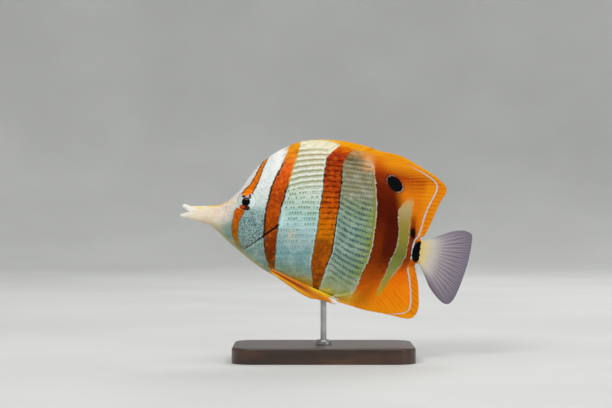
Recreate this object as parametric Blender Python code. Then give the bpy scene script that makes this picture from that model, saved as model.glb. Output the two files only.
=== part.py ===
"""Copperband butterflyfish, a still life-size model held on a plain display stand.

The fish is built straight in its own frame: x runs from the snout tip to the tail, y to its right
side and z up. The empty fish_pose then pitches and banks it as it swims, and sets it over the stand.
Lengths are in millimetres, and MM turns them into metres where a mesh is made.
"""

import math

import bmesh
import bpy
import numpy as np
from mathutils import Matrix, Vector

MM = 0.001
GAP = 0.3
SMOOTH_ANGLE = math.radians(40)

# Pose in the water: nose up, and the belly turned a little towards the viewer's side
PITCH = math.radians(10)
BANK = math.radians(-5)

# Where one part of the body ends and the next begins, along x
JAW_END = 4.2
SNOUT_END = 22.0
TAIL_START = 113.0
BODY_END = 124.0

# Flesh outline seen from the side, without the fins: (x, z)
BACK_POINTS = [(0, 2.4), (5, 3.1), (12, 4.5), (18.8, 6.0), (22, 8.1), (25, 11.6), (28, 15.8),
               (31, 22.2), (35.5, 30.1), (41, 36.4), (48.2, 41.6), (56, 43.2), (70, 42.4),
               (84, 40.4), (94, 37.6), (103, 31.6), (112, 21.8), (118, 12.6), (121.5, 7.4),
               (124, 6.0)]
BELLY_POINTS = [(0, -3.0), (6.1, -4.1), (14.2, -4.9), (19.9, -7.3), (24.8, -10.7), (34.7, -16.6),
                (45.8, -22.4), (52, -24.6), (62, -27.4), (74, -29.6), (82, -30.2), (88, -29.4),
                (97, -24.3), (104, -19.5), (111, -14.1), (117.6, -8.8), (121.5, -6.4), (124, -5.9)]

# Half width seen from above, and the half widths of the flats along the back and the belly
WIDTH_POINTS = [(0, 1.6), (5, 2.1), (12, 2.7), (20, 3.8), (26, 5.3), (32, 6.5), (40, 7.7), (50, 8.6),
                (60, 8.9), (70, 8.5), (85, 7.1), (100, 5.1), (112, 3.4), (120, 2.3), (124, 2.0)]
BACK_FLAT_POINTS = [(0, 0.4), (20, 0.6), (45, 1.2), (124, 1.2)]
BELLY_FLAT_POINTS = [(0, 0.5), (20, 0.8), (50, 2.0), (82, 2.0), (90, 1.2), (124, 1.2)]

# Cross-section: the widest level, and how pointed it is above and below that level
WIDEST_LEVEL = 0.45
BACK_POINT = [(0, 0.5), (20, 0.55), (45, 0.78), (100, 0.78), (118, 0.55), (124, 0.5)]
BELLY_POINT = [(0, 0.5), (20, 0.55), (45, 0.62), (100, 0.7), (118, 0.55), (124, 0.5)]

# Gill opening, where head and torso part: (level from belly to back, x)
GILL_POINTS = [(0, 33.3), (0.04, 34.6), (0.185, 40.4), (0.26, 44.0), (0.307, 46.7), (0.36, 49.6),
               (0.41, 50.7), (0.46, 50.5), (0.52, 49.2), (0.6, 46.5), (0.66, 44.8), (0.78, 43.2),
               (1, 44.0)]

# Gill cover: a plate let into the side of the head, its rear edge free and a little raised
COVER_FRONT_POINTS = [(0.08, 32.6), (0.13, 35.2), (0.2, 37.2), (0.3, 38.5), (0.45, 39.2), (0.62, 39.6)]
COVER_LOW, COVER_HIGH = 0.08, 0.62
COVER_FRONT_THICKNESS, COVER_REAR_THICKNESS = 0.6, 1.0
COVER_LIFT = 0.35
LEVEL_GAP, LEVEL_RAMP = 0.006, 0.004

# Levels of the body's rows: close together where the section turns in at the back and belly
LOW_LEVELS = [0, 0.015, 0.04]
COVER_LEVELS = [0.12, 0.17, 0.22, 0.27, 0.32, 0.37, 0.41, 0.45, 0.5, 0.56]
HIGH_LEVELS = [0.69, 0.76, 0.83, 0.89, 0.94, 0.975, 1]

# Stations along each length of the body, and rows on its round lengths
STATIONS = {"jaw": 7, "snout": 9, "cheek": 9, "gill_cover": 6, "torso": 22, "tail": 9}
ROUND_ROWS = 11

# Mouth, a little open
UPPER_JAW_TOP = [(0.1, 2.2), (1.1, 3.3), (2.5, 3.25), (4.2, 3.1)]
UPPER_JAW_EDGE = [(0.1, 1.8), (1.5, 1.2), (3.1, 0.65), (4.2, 0.15)]
LOWER_JAW_EDGE = [(-0.2, -2.4), (0.4, -1.95), (2.4, -1.2), (4.2, -0.45)]
LOWER_JAW_BASE = [(-0.2, -2.8), (0.7, -3.4), (2.8, -3.75), (4.2, -3.9)]
JAW_WIDTH = [(-0.2, 0.9), (1.0, 1.5), (4.2, 2.0)]
JAW_FLAT, LIP = 0.25, 0.22

# Eye, a flattened ball in its socket, and the two nostrils in front of it
EYE_X, EYE_Z = 32.3, 9.8
EYE_RADIUS, EYE_DEPTH = 4.7, 2.8
EYE_BULGE = 0.7
NOSTRILS = [(26.6, 11.2, 0.45), (27.9, 12.8, 0.35)]
NOSTRIL_DEPTH = 0.9

# Dorsal fin: spines laid back in front, soft rays behind
SPINES = 9
SPINE_ROOT_START, SPINE_ROOT_END = 48.6, 78.4
SPINE_TIPS = [(50.9, 43.9), (54.6, 45.9), (59.0, 47.3), (64.0, 48.4), (69.6, 49.3), (75.2, 49.7),
              (80.6, 49.6), (86.0, 49.3), (91.9, 48.7)]
MEMBRANE_NOTCH = 1.1
SOFT_DORSAL_ROOT = (78.9, 121.9)
SOFT_DORSAL_EDGE = [(92.2, 48.0), (98, 47.6), (103.2, 47.4), (107.6, 46.6), (113.3, 44.5),
                    (119, 42.3), (124.6, 40), (128.4, 37.9), (131.4, 35.2), (131.9, 32), (130.2, 27.8),
                    (128.7, 22.8), (126.9, 15.1), (124.6, 8.3)]
SOFT_DORSAL_RAYS = 29

# Anal fin: three spines, then soft rays
ANAL_ROOT = (84.4, 121.6)
ANAL_EDGE = [(86.8, -32.4), (89.9, -32.8), (95.3, -33.4), (100.7, -34), (107, -34.1), (114.5, -34.3),
             (120.9, -34.7), (125, -34.1), (127.2, -31.4), (127.8, -27), (126.9, -21.9),
             (125.5, -15.8), (122.4, -7.4)]
ANAL_SPINES, ANAL_SPINE_TIP = 3, 0.5
ANAL_RAYS = 20

# Tail fin, spread a little more below than above, as it beats
CAUDAL_ROOT_HALF, CAUDAL_ROOT_THICKNESS = 5.6, 3.8
CAUDAL_EDGE = [(124.9, 6.3), (130.1, 8.8), (137.8, 13.3), (143, 15), (146, 15), (149, 13.5),
               (149.6, 7.4), (149.3, 1), (148.5, -5.4), (146.9, -14.1), (144.9, -20.9),
               (142.1, -23.7), (138, -22.3), (132.7, -17.7), (127.3, -11.3), (124.5, -6.4)]
CAUDAL_EDGE_RUN = (0.13, 0.87)
CAUDAL_RAYS = 17
CAUDAL_SWING = 3.2

# Paired fins
PECTORAL_X, PECTORAL_Z = 51.9, -3.2
PECTORAL_BASE, PECTORAL_LENGTH = 6.2, 20.0
PECTORAL_RAYS = 14
PECTORAL_TOP_SLOPE, PECTORAL_LOW_SLOPE = math.radians(10), math.radians(-38)
PECTORAL_ROOT_HALF, PECTORAL_RAY_RISE = 0.6, 0.14
PECTORAL_TURNS = {"left": 24, "right": 30}
PELVIC_X, PELVIC_BASE, PELVIC_ROOT_HALF, PELVIC_CLEARANCE = 52.2, 3.6, 0.7, 1.4
PELVIC_LENGTH, PELVIC_WIDTH = 35.5, 4.6
PELVIC_RAYS = 6
PELVIC_POSES = {"left": (-23.0, -13.4), "right": (-25.4, -12.0)}

# Fin thickness
MEMBRANE_HALF = 0.27
RAY_RISE = 0.3
SPINE_RISE = 0.5
ROOT_TAPER = 3
ROOT_STEPS = 60
FIN_ROWS = {"dorsal": 6, "anal": 6, "caudal": 7, "pectoral": 5, "pelvic": 6}

# Display stand
BASE_LENGTH, BASE_WIDTH, BASE_HEIGHT = 92.0, 56.0, 8.0
BASE_CORNER, BASE_ROUND = 10.0, 1.2
FISH_CLEARANCE = 13.0
ROD_X, ROD_RADIUS, ROD_SIDES = 79.0, 1.5, 20
COLLAR_RADIUS, COLLAR_HEIGHT, COLLAR_BEVEL = 4.2, 2.2, 0.8

PAINTS = {
    "cream": ((0.82, 0.80, 0.68), 0.4, 0.0),
    "silver": ((0.66, 0.75, 0.73), 0.35, 0.0),
    "orange": ((0.86, 0.33, 0.02), 0.4, 0.0),
    "yellow": ((0.93, 0.52, 0.03), 0.4, 0.0),
    "tail_fin": ((0.62, 0.58, 0.60), 0.4, 0.0),
    "clear_fin": ((0.74, 0.80, 0.78), 0.3, 0.0),
    "eye": ((0.02, 0.02, 0.03), 0.1, 0.0),
    "wood": ((0.05, 0.035, 0.025), 0.35, 0.0),
    "steel": ((0.62, 0.62, 0.62), 0.3, 1.0),
}


def clear_scene():
    for obj in list(bpy.data.objects):
        bpy.data.objects.remove(obj)


def paint(name):
    """The named material, made once."""
    if name in bpy.data.materials:
        return bpy.data.materials[name]
    colour, roughness, metallic = PAINTS[name]
    material = bpy.data.materials.new(name)
    material.use_nodes = True
    shader = material.node_tree.nodes["Principled BSDF"]
    shader.inputs["Base Color"].default_value = (*colour, 1)
    shader.inputs["Roughness"].default_value = roughness
    shader.inputs["Metallic"].default_value = metallic
    return material


def make_object(name, solid, paint_name, parent=None):
    """An object from a closed bmesh, its faces turned outwards and its round parts shaded smooth."""
    bmesh.ops.recalc_face_normals(solid, faces=solid.faces)
    mesh = bpy.data.meshes.new(name)
    solid.to_mesh(mesh)
    solid.free()
    mesh.shade_smooth()
    mesh.set_sharp_from_angle(angle=SMOOTH_ANGLE)
    mesh.materials.append(paint(paint_name))
    obj = bpy.data.objects.new(name, mesh)
    bpy.context.scene.collection.objects.link(obj)
    obj.parent = parent
    return obj


def profile(points):
    """A smooth curve y(x) through the points that never overshoots them."""
    xs = np.array([p[0] for p in points], float)
    ys = np.array([p[1] for p in points], float)
    widths = np.diff(xs)
    slopes = np.diff(ys) / widths
    tangents = [slopes[0]]
    for before, after, left, right in zip(slopes, slopes[1:], widths, widths[1:]):
        first, second = 2 * right + left, right + 2 * left
        level = before * after <= 0
        tangents.append(0.0 if level else (first + second) / (first / before + second / after))
    tangents.append(slopes[-1])

    def value(x):
        x = float(np.clip(x, xs[0], xs[-1]))
        i = min(int(np.searchsorted(xs, x, side="right")) - 1, len(widths) - 1)
        t, width = (x - xs[i]) / widths[i], widths[i]
        return ((1 + 2 * t) * (1 - t) ** 2 * ys[i] + t * (1 - t) ** 2 * width * tangents[i]
                + t * t * (3 - 2 * t) * ys[i + 1] + t * t * (t - 1) * width * tangents[i + 1])

    return value


def path(points, per_span=10):
    """A smooth line through the points, as a function of the share of its length."""
    ends = [2 * Vector(points[0]) - Vector(points[1])]
    ends += [Vector(p) for p in points]
    ends.append(2 * Vector(points[-1]) - Vector(points[-2]))
    fine = []
    for a, b, c, d in zip(ends, ends[1:], ends[2:], ends[3:]):
        for k in range(per_span):
            t = k / per_span
            fine.append(0.5 * (2 * b + (c - a) * t + (2 * a - 5 * b + 4 * c - d) * t * t
                               + (3 * b - a - 3 * c + d) * t ** 3))
    fine.append(ends[-2])
    line = np.array([tuple(p) for p in fine])
    run = np.concatenate([[0], np.cumsum(np.linalg.norm(np.diff(line, axis=0), axis=1))])
    run /= run[-1]

    def at(share):
        return np.interp(share, run, line[:, 0]), np.interp(share, run, line[:, 1])

    return at


back, belly, half_width = profile(BACK_POINTS), profile(BELLY_POINTS), profile(WIDTH_POINTS)
back_flat, belly_flat = profile(BACK_FLAT_POINTS), profile(BELLY_FLAT_POINTS)
back_point, belly_point = profile(BACK_POINT), profile(BELLY_POINT)
gill_line, cover_front = profile(GILL_POINTS), profile(COVER_FRONT_POINTS)


def flesh_half(x, level):
    """Half the body's thickness at x and at a level from 0, the belly, to 1, the back."""
    if level < WIDEST_LEVEL:
        out = (WIDEST_LEVEL - level) / WIDEST_LEVEL
        flat, point = belly_flat(x), belly_point(x)
    else:
        out = (level - WIDEST_LEVEL) / (1 - WIDEST_LEVEL)
        flat, point = back_flat(x), back_point(x)
    return flat + (half_width(x) - flat) * (1 - min(out, 1.0) ** 2) ** point


def flesh_z(x, level):
    return belly(x) + level * (back(x) - belly(x))


def half_at(x, z):
    return flesh_half(x, (z - belly(x)) / (back(x) - belly(x)))


def sheet_solid(name, left, right, paint_name, parent):
    """A closed solid between two grids of points, split into triangles alike on both faces."""
    columns, rows = len(left), len(left[0])
    solid = bmesh.new()
    faces = [[[solid.verts.new(Vector(p) * MM) for p in column] for column in side]
             for side in (left, right)]
    for face in faces:
        for i in range(columns - 1):
            for j in range(rows - 1):
                a, b, c, d = face[i][j], face[i + 1][j], face[i + 1][j + 1], face[i][j + 1]
                solid.faces.new((a, b, c))
                solid.faces.new((a, c, d))
    rim = [(i, 0) for i in range(columns)] + [(columns - 1, j) for j in range(1, rows)]
    rim += [(i, rows - 1) for i in range(columns - 2, -1, -1)]
    rim += [(0, j) for j in range(rows - 2, 0, -1)]
    for (i, j), (m, n) in zip(rim, rim[1:] + rim[:1]):
        a, b, c, d = faces[0][i][j], faces[0][m][n], faces[1][m][n], faces[1][i][j]
        solid.faces.new((a, d, c))
        solid.faces.new((a, c, b))
    return make_object(name, solid, paint_name, parent)


def between(front, rear, count):
    """Stations from front to rear, both ends included; each gives x at a level."""
    return [lambda level, s=k / (count - 1): front(level) + s * (rear(level) - front(level))
            for k in range(count)]


def at_x(x):
    return lambda level: x


def shifted(line, shift):
    return lambda level: line(level) + shift


def flesh(name, stations, levels, paint_name, parent, recess=None):
    """A length of the body between its stations. recess gives a depth at (station, row)."""
    left, right = [], []
    for i, station in enumerate(stations):
        column = []
        for k, level in enumerate(levels):
            x = station(level)
            depth = recess(i, k) if recess else 0
            column.append((x, flesh_half(x, level) - depth, flesh_z(x, level)))
        right.append(column)
        left.append([(x, -y, z) for x, y, z in column])
    return sheet_solid(name, left, right, paint_name, parent)


def even_levels(count):
    """Levels from 0 to 1, closer together at the ends."""
    return [0.5 - 0.5 * math.cos(math.pi * k / (count - 1)) for k in range(count)]


def body_levels():
    """Rows shared by head and torso, with a row on each side of the gill cover's edges."""
    low_edge = [COVER_LOW - LEVEL_GAP - LEVEL_RAMP, COVER_LOW - LEVEL_GAP]
    high_edge = [COVER_HIGH + LEVEL_GAP, COVER_HIGH + LEVEL_GAP + LEVEL_RAMP]
    return LOW_LEVELS + low_edge + COVER_LEVELS + high_edge + HIGH_LEVELS


def add_snout(parent):
    stations = between(at_x(JAW_END + GAP), at_x(SNOUT_END), STATIONS["snout"])
    return flesh("snout", stations, even_levels(ROUND_ROWS), "cream", parent)


def add_jaw(name, lower_points, upper_points, mouth_level, parent):
    """One jaw, its lip thickest along the edge of the mouth."""
    lower, upper, width = profile(lower_points), profile(upper_points), profile(JAW_WIDTH)
    start, end = upper_points[0][0], upper_points[-1][0]
    left, right = [], []
    for k in range(STATIONS["jaw"]):
        x = start + (end - start) * (k / (STATIONS["jaw"] - 1)) ** 1.5
        column = []
        for level in even_levels(ROUND_ROWS):
            rounding = math.sqrt(1 - (2 * level - 1) ** 2)
            lip = LIP * max(0.0, 1 - 3 * abs(level - mouth_level))
            y = JAW_FLAT + (width(x) - JAW_FLAT) * rounding + lip
            column.append((x, y, lower(x) + level * (upper(x) - lower(x))))
        right.append(column)
        left.append([(x, -y, z) for x, y, z in column])
    return sheet_solid(name, left, right, "cream", parent)


def ball_cutter(name, holes, parent):
    """A helper that cuts ellipsoid pits: each hole is (centre, radii)."""
    cutter = bmesh.new()
    for centre, radii in holes:
        place = Matrix.Translation(Vector(centre) * MM) @ Matrix.Diagonal((*(r * MM for r in radii), 1))
        bmesh.ops.create_uvsphere(cutter, u_segments=20, v_segments=12, radius=1, matrix=place)
    mesh = bpy.data.meshes.new(name)
    cutter.to_mesh(mesh)
    cutter.free()
    obj = bpy.data.objects.new(name, mesh)
    bpy.context.scene.collection.objects.link(obj)
    obj.parent = parent
    obj.hide_render = True
    obj.display_type = "WIRE"
    return obj


def eye_centre(side):
    return EYE_X, side * (half_at(EYE_X, EYE_Z) + EYE_BULGE - EYE_DEPTH), EYE_Z


def add_head(parent):
    """The head up to the gill opening, with recesses for the gill covers, sockets and nostrils."""
    levels = body_levels()
    cheek = between(at_x(SNOUT_END + GAP), shifted(cover_front, -1.5 * GAP), STATIONS["cheek"])
    under_cover = between(shifted(cover_front, -GAP), shifted(gill_line, -GAP), STATIONS["gill_cover"])
    first_row = len(LOW_LEVELS) + 1
    last_row = first_row + len(COVER_LEVELS) + 1

    def recess(station, row):
        covered = station >= len(cheek) and first_row <= row <= last_row
        return COVER_REAR_THICKNESS - COVER_LIFT + GAP if covered else 0

    head = flesh("head", cheek + under_cover, levels, "silver", parent, recess)
    holes = []
    for side in (-1, 1):
        holes.append((eye_centre(side), (EYE_RADIUS + GAP, EYE_DEPTH + GAP, EYE_RADIUS + GAP)))
        for x, z, radius in NOSTRILS:
            holes.append(((x, side * half_at(x, z), z), (radius, NOSTRIL_DEPTH, radius)))
    cut = head.modifiers.new("sockets", "BOOLEAN")
    cut.operation = "DIFFERENCE"
    cut.solver = "EXACT"
    cut.object = ball_cutter("socket_cutter", holes, parent)
    return head


def add_gill_cover(name, side, parent):
    """A plate over the gills: flush in front, with its free rear edge raised."""
    levels = [COVER_LOW] + COVER_LEVELS + [COVER_HIGH]
    stations = between(cover_front, shifted(gill_line, -GAP), STATIONS["gill_cover"])
    depth = COVER_REAR_THICKNESS - COVER_LIFT
    inner, outer = [], []
    for i, station in enumerate(stations):
        rear = i / (len(stations) - 1)
        lift = depth - COVER_FRONT_THICKNESS
        rise = -lift * (1 - rear) + COVER_LIFT * rear ** 2
        xs = [station(level) for level in levels]
        inner.append([(x, side * (flesh_half(x, t) - depth), flesh_z(x, t)) for x, t in zip(xs, levels)])
        outer.append([(x, side * (flesh_half(x, t) + rise), flesh_z(x, t)) for x, t in zip(xs, levels)])
    return sheet_solid(name, inner, outer, "silver", parent)


def add_eye(name, side, parent):
    """A flattened ball that bulges a little from its socket."""
    ball = bmesh.new()
    bmesh.ops.create_uvsphere(ball, u_segments=20, v_segments=12, radius=EYE_RADIUS * MM)
    bmesh.ops.rotate(ball, verts=ball.verts, matrix=Matrix.Rotation(math.pi / 2, 3, "X"))
    bmesh.ops.scale(ball, verts=ball.verts, vec=(1, EYE_DEPTH / EYE_RADIUS, 1))
    obj = make_object(name, ball, "eye", parent)
    obj.location = Vector(eye_centre(side)) * MM
    return obj


def add_torso(parent):
    stations = between(shifted(gill_line, GAP / 2), at_x(TAIL_START), STATIONS["torso"])
    return flesh("torso", stations, body_levels(), "silver", parent)


def add_tail(parent):
    stations = between(at_x(TAIL_START + GAP), at_x(BODY_END), STATIONS["tail"])
    return flesh("tail", stations, even_levels(ROUND_ROWS), "orange", parent)


def outward(curve, x, side):
    """The point just clear of the back (side 1) or the belly (side -1), square to the outline."""
    slope = (curve(x + 0.1) - curve(x - 0.1)) / 0.2
    length = math.hypot(slope, 1)
    return x - side * slope * GAP / length, curve(x) + side * GAP / length


def fin(name, columns, root_half, paint_name, parent, bend=None):
    """A fin as a thin sheet whose rays rise from the membrane on both faces.

    Each column is (root, edge, rise): its two ends in the x-z plane, and how much thicker than the
    membrane it is. bend gives the sideways shift at (x, z, share of the way to the edge).
    """
    rows = FIN_ROWS[name.split("_")[0]]
    left, right = [], []
    for (x0, z0), (x1, z1), rise in columns:
        near, far = [], []
        for k in range(rows + 1):
            share = k / rows
            x, z = x0 + (x1 - x0) * share, z0 + (z1 - z0) * share
            y = bend(x, z, share) if bend else 0.0
            half = MEMBRANE_HALF + (root_half - MEMBRANE_HALF) * (1 - share) ** ROOT_TAPER
            half += rise * min(1.0, 3 * share) * (1 - 0.5 * share)
            near.append((x, y - half, z))
            far.append((x, y + half, z))
        left.append(near)
        right.append(far)
    return sheet_solid(name, left, right, paint_name, parent)


def ray_columns(root, edge, rays, edge_run=(0, 1)):
    """Columns for soft rays: membrane, ray, membrane and so on. root and edge are functions of a share."""
    columns = []
    for k in range(2 * rays + 1):
        share = k / (2 * rays)
        edge_share = edge_run[0] + (edge_run[1] - edge_run[0]) * share
        columns.append((root(share), edge(edge_share), RAY_RISE if k % 2 else 0.0))
    return columns


def along(curve, start, end, side):
    """Root of a fin as a function of a share: evenly spaced along the back or the belly."""
    steps = np.linspace(start, end, ROOT_STEPS)
    return path([outward(curve, x, side) for x in steps], per_span=2)


def add_spiny_dorsal(parent):
    """Nine spines laid back, their tips standing clear of a notched membrane."""
    columns = []
    for k, tip in enumerate(SPINE_TIPS):
        x = SPINE_ROOT_START + (SPINE_ROOT_END - SPINE_ROOT_START) * k / (SPINES - 1)
        if k:
            before = columns[-1][1]
            middle = (x + columns[-1][0][0]) / 2
            notch = ((tip[0] + before[0]) / 2, (tip[1] + before[1]) / 2 - MEMBRANE_NOTCH)
            columns.append((outward(back, middle, 1), notch, 0.0))
        columns.append((outward(back, x, 1), tip, SPINE_RISE))
    return fin("dorsal_fin_spiny", columns, back_flat(SPINE_ROOT_START), "yellow", parent)


def add_soft_dorsal(parent):
    root = along(back, *SOFT_DORSAL_ROOT, 1)
    columns = ray_columns(root, path(SOFT_DORSAL_EDGE), SOFT_DORSAL_RAYS)
    return fin("dorsal_fin_soft", columns, back_flat(BODY_END), "orange", parent)


def add_anal_fin(parent):
    """Three strong spines lead the anal fin's soft rays."""
    root = along(belly, *ANAL_ROOT, -1)
    columns = ray_columns(root, path(ANAL_EDGE), ANAL_SPINES + ANAL_RAYS)
    for k in range(ANAL_SPINES):
        start, end, _ = columns[2 * k + 1]
        columns[2 * k + 1] = (start, (end[0], end[1] - ANAL_SPINE_TIP), SPINE_RISE)
    return fin("anal_fin", columns, belly_flat(BODY_END), "orange", parent)


def add_caudal_fin(parent):
    """The tail fin, swung a little to the fish's right."""
    def root(share):
        return BODY_END + GAP, CAUDAL_ROOT_HALF * (1 - 2 * share)

    def bend(x, z, share):
        return CAUDAL_SWING * share ** 2 * (1 + 0.3 * math.sin(z / 6))

    columns = ray_columns(root, path(CAUDAL_EDGE), CAUDAL_RAYS, CAUDAL_EDGE_RUN)
    return fin("caudal_fin", columns, CAUDAL_ROOT_THICKNESS / 2, "tail_fin", parent, bend)


def add_pectoral(name, side, parent):
    """A clear fan of rays, its root flat against the side of the body."""
    turn = math.radians(PECTORAL_TURNS[name.rsplit("_", 1)[1]])
    start = half_at(PECTORAL_X, PECTORAL_Z) + GAP + PECTORAL_ROOT_HALF
    columns = []
    for k in range(2 * PECTORAL_RAYS + 1):
        share = k / (2 * PECTORAL_RAYS)
        slope = PECTORAL_TOP_SLOPE + (PECTORAL_LOW_SLOPE - PECTORAL_TOP_SLOPE) * share
        length = PECTORAL_LENGTH * (1 - 0.5 * share ** 1.7) * (0.8 + 0.2 * min(1.0, 6 * share))
        root = (PECTORAL_X, PECTORAL_Z + PECTORAL_BASE * (0.5 - share))
        edge = (root[0] + length * math.cos(slope) * math.cos(turn), root[1] + length * math.sin(slope))
        columns.append((root, edge, PECTORAL_RAY_RISE if k % 2 else 0.0))

    def bend(x, z, share):
        return side * (start + (x - PECTORAL_X) * math.tan(turn) * min(1.0, 0.35 + share))

    return fin(name, columns, PECTORAL_ROOT_HALF, "clear_fin", parent, bend)


def add_pelvic(name, side, parent):
    """A narrow folded fin: its spine leads along the lower edge, and the first ray is the longest."""
    base_z, slope = PELVIC_POSES[name.rsplit("_", 1)[1]]
    slope = math.radians(slope)
    columns = []
    for k in range(2 * PELVIC_RAYS + 1):
        share = k / (2 * PELVIC_RAYS)
        length = PELVIC_LENGTH * (1 - 0.42 * share ** 0.8)
        root = (PELVIC_X + 0.25 * share, base_z - PELVIC_BASE * (0.5 - share))
        reach = PELVIC_WIDTH * (share - 0.35)
        edge = (root[0] + length * math.cos(slope) - reach * math.sin(slope),
                root[1] + length * math.sin(slope) + reach * math.cos(slope) - PELVIC_BASE * (share - 0.5))
        rise = SPINE_RISE if k == 1 else RAY_RISE
        columns.append((root, edge, rise if k % 2 else 0.0))

    def bend(x, z, share):
        return side * (half_at(x, z) + PELVIC_CLEARANCE + math.sin(math.pi * share ** 0.7))

    return fin(name, columns, PELVIC_ROOT_HALF, "yellow", parent, bend)


def settle(pose, fish):
    """Turns the fish, centres it over the origin and lifts it clear of the base."""
    pose.rotation_euler = (BANK, PITCH, 0)
    turn = pose.rotation_euler.to_matrix()
    places = np.array([turn @ (obj.matrix_basis @ vert.co) for obj in fish for vert in obj.data.vertices])
    low, high = places.min(axis=0), places.max(axis=0)
    pose.location = (-(low[0] + high[0]) / 2, 0, (BASE_HEIGHT + FISH_CLEARANCE) * MM - low[2])
    bpy.context.view_layer.update()


def add_rod(pose):
    """A steel rod from the base to the belly, its top cut parallel to the flesh above it."""
    anchor = pose.matrix_world @ Vector((ROD_X * MM, 0, belly(ROD_X) * MM))
    slope = (belly(ROD_X + 1) - belly(ROD_X - 1)) / 2
    down = pose.matrix_world.to_3x3() @ Vector((slope, 0, -1)).normalized()
    foot = (BASE_HEIGHT + GAP) * MM
    rod = bmesh.new()
    bmesh.ops.create_cone(rod, cap_ends=True, segments=ROD_SIDES, radius1=ROD_RADIUS * MM,
                          radius2=ROD_RADIUS * MM, depth=anchor.z - foot)
    for vert in rod.verts:
        if vert.co.z > 0:
            vert.co.z = (GAP * MM - vert.co.x * down.x - vert.co.y * down.y) / down.z
        else:
            vert.co.z = foot - anchor.z
    make_object("stand_rod", rod, "steel").location = anchor
    return anchor


def add_collar(anchor):
    """A ring turned round the rod's foot, its upper outer edge bevelled."""
    inner, outer, height, edge = ROD_RADIUS + GAP, COLLAR_RADIUS, COLLAR_HEIGHT, COLLAR_BEVEL
    outline = [(inner, 0), (outer, 0), (outer, height - edge), (outer - edge, height), (inner, height)]
    collar = bmesh.new()
    corners = [collar.verts.new(Vector((r, 0, z)) * MM) for r, z in outline]
    edges = [collar.edges.new(pair) for pair in zip(corners, corners[1:] + corners[:1])]
    bmesh.ops.spin(collar, geom=corners + edges, cent=(0, 0, 0), axis=(0, 0, 1), dvec=(0, 0, 0),
                   angle=2 * math.pi, steps=ROD_SIDES, use_merge=True)
    obj = make_object("stand_collar", collar, "steel")
    obj.location = (anchor.x, anchor.y, (BASE_HEIGHT + GAP) * MM)


def add_base(centre_x):
    """A flat plinth with round corners and a softened top edge."""
    base = bmesh.new()
    bmesh.ops.create_cube(base, size=MM)
    bmesh.ops.scale(base, vec=(BASE_LENGTH, BASE_WIDTH, BASE_HEIGHT), verts=base.verts)
    upright = [e for e in base.edges if e.verts[0].co.z * e.verts[1].co.z < 0]
    bmesh.ops.bevel(base, geom=upright, offset=BASE_CORNER * MM, segments=6, profile=0.5,
                    affect="EDGES")
    rim = [e for e in base.edges if min(v.co.z for v in e.verts) > 0]
    bmesh.ops.bevel(base, geom=rim, offset=BASE_ROUND * MM, segments=3, profile=0.5, affect="EDGES")
    obj = make_object("stand_base", base, "wood")
    obj.location = (centre_x, 0, BASE_HEIGHT / 2 * MM)


def main():
    clear_scene()
    pose = bpy.data.objects.new("fish_pose", None)
    bpy.context.scene.collection.objects.link(pose)
    fish = [
        add_jaw("jaw_upper", UPPER_JAW_EDGE, UPPER_JAW_TOP, 0, pose),
        add_jaw("jaw_lower", LOWER_JAW_BASE, LOWER_JAW_EDGE, 1, pose),
        add_snout(pose),
        add_head(pose),
        add_torso(pose),
        add_tail(pose),
        add_spiny_dorsal(pose),
        add_soft_dorsal(pose),
        add_anal_fin(pose),
        add_caudal_fin(pose),
    ]
    for word, side in (("left", -1), ("right", 1)):
        fish.append(add_eye(f"eye_{word}", side, pose))
        fish.append(add_gill_cover(f"gill_cover_{word}", side, pose))
        fish.append(add_pectoral(f"pectoral_fin_{word}", side, pose))
        fish.append(add_pelvic(f"pelvic_fin_{word}", side, pose))
    settle(pose, fish)
    anchor = add_rod(pose)
    add_collar(anchor)
    add_base(anchor.x)


main()
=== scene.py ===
"""Looks of the copperband butterflyfish model: skin, scales, fins, eyes, stand, light and camera.

The fish is shaped in its own frame in millimetres: x from the snout tip to the tail, y to its right
side, z up. place() turns it into the frame's metres. Every mesh of the fish carries those fish
coordinates in the attribute "fish", which the markings are drawn by.
"""

import math

import bmesh
import bpy
import numpy as np
from mathutils import Euler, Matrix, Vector
from mathutils.bvhtree import BVHTree


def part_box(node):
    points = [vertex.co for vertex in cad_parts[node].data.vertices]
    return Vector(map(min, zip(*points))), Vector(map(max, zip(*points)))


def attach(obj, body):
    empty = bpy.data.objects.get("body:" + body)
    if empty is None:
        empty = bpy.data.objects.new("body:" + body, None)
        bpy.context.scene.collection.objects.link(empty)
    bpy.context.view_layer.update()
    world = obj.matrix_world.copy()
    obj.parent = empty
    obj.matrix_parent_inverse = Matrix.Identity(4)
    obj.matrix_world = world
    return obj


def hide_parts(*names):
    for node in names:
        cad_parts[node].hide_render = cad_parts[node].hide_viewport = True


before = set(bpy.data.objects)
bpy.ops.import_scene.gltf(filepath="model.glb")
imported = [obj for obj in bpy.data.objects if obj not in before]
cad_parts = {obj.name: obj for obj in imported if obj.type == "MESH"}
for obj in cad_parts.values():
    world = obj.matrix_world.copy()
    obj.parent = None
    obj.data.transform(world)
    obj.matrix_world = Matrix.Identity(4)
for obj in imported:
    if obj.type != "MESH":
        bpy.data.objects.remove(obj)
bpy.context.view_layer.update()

MM = 0.001
SIDES = (("left", -1), ("right", 1))

# Pose of the fish over its stand, as in the solids
PITCH, BANK = math.radians(10), math.radians(-5)

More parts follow.
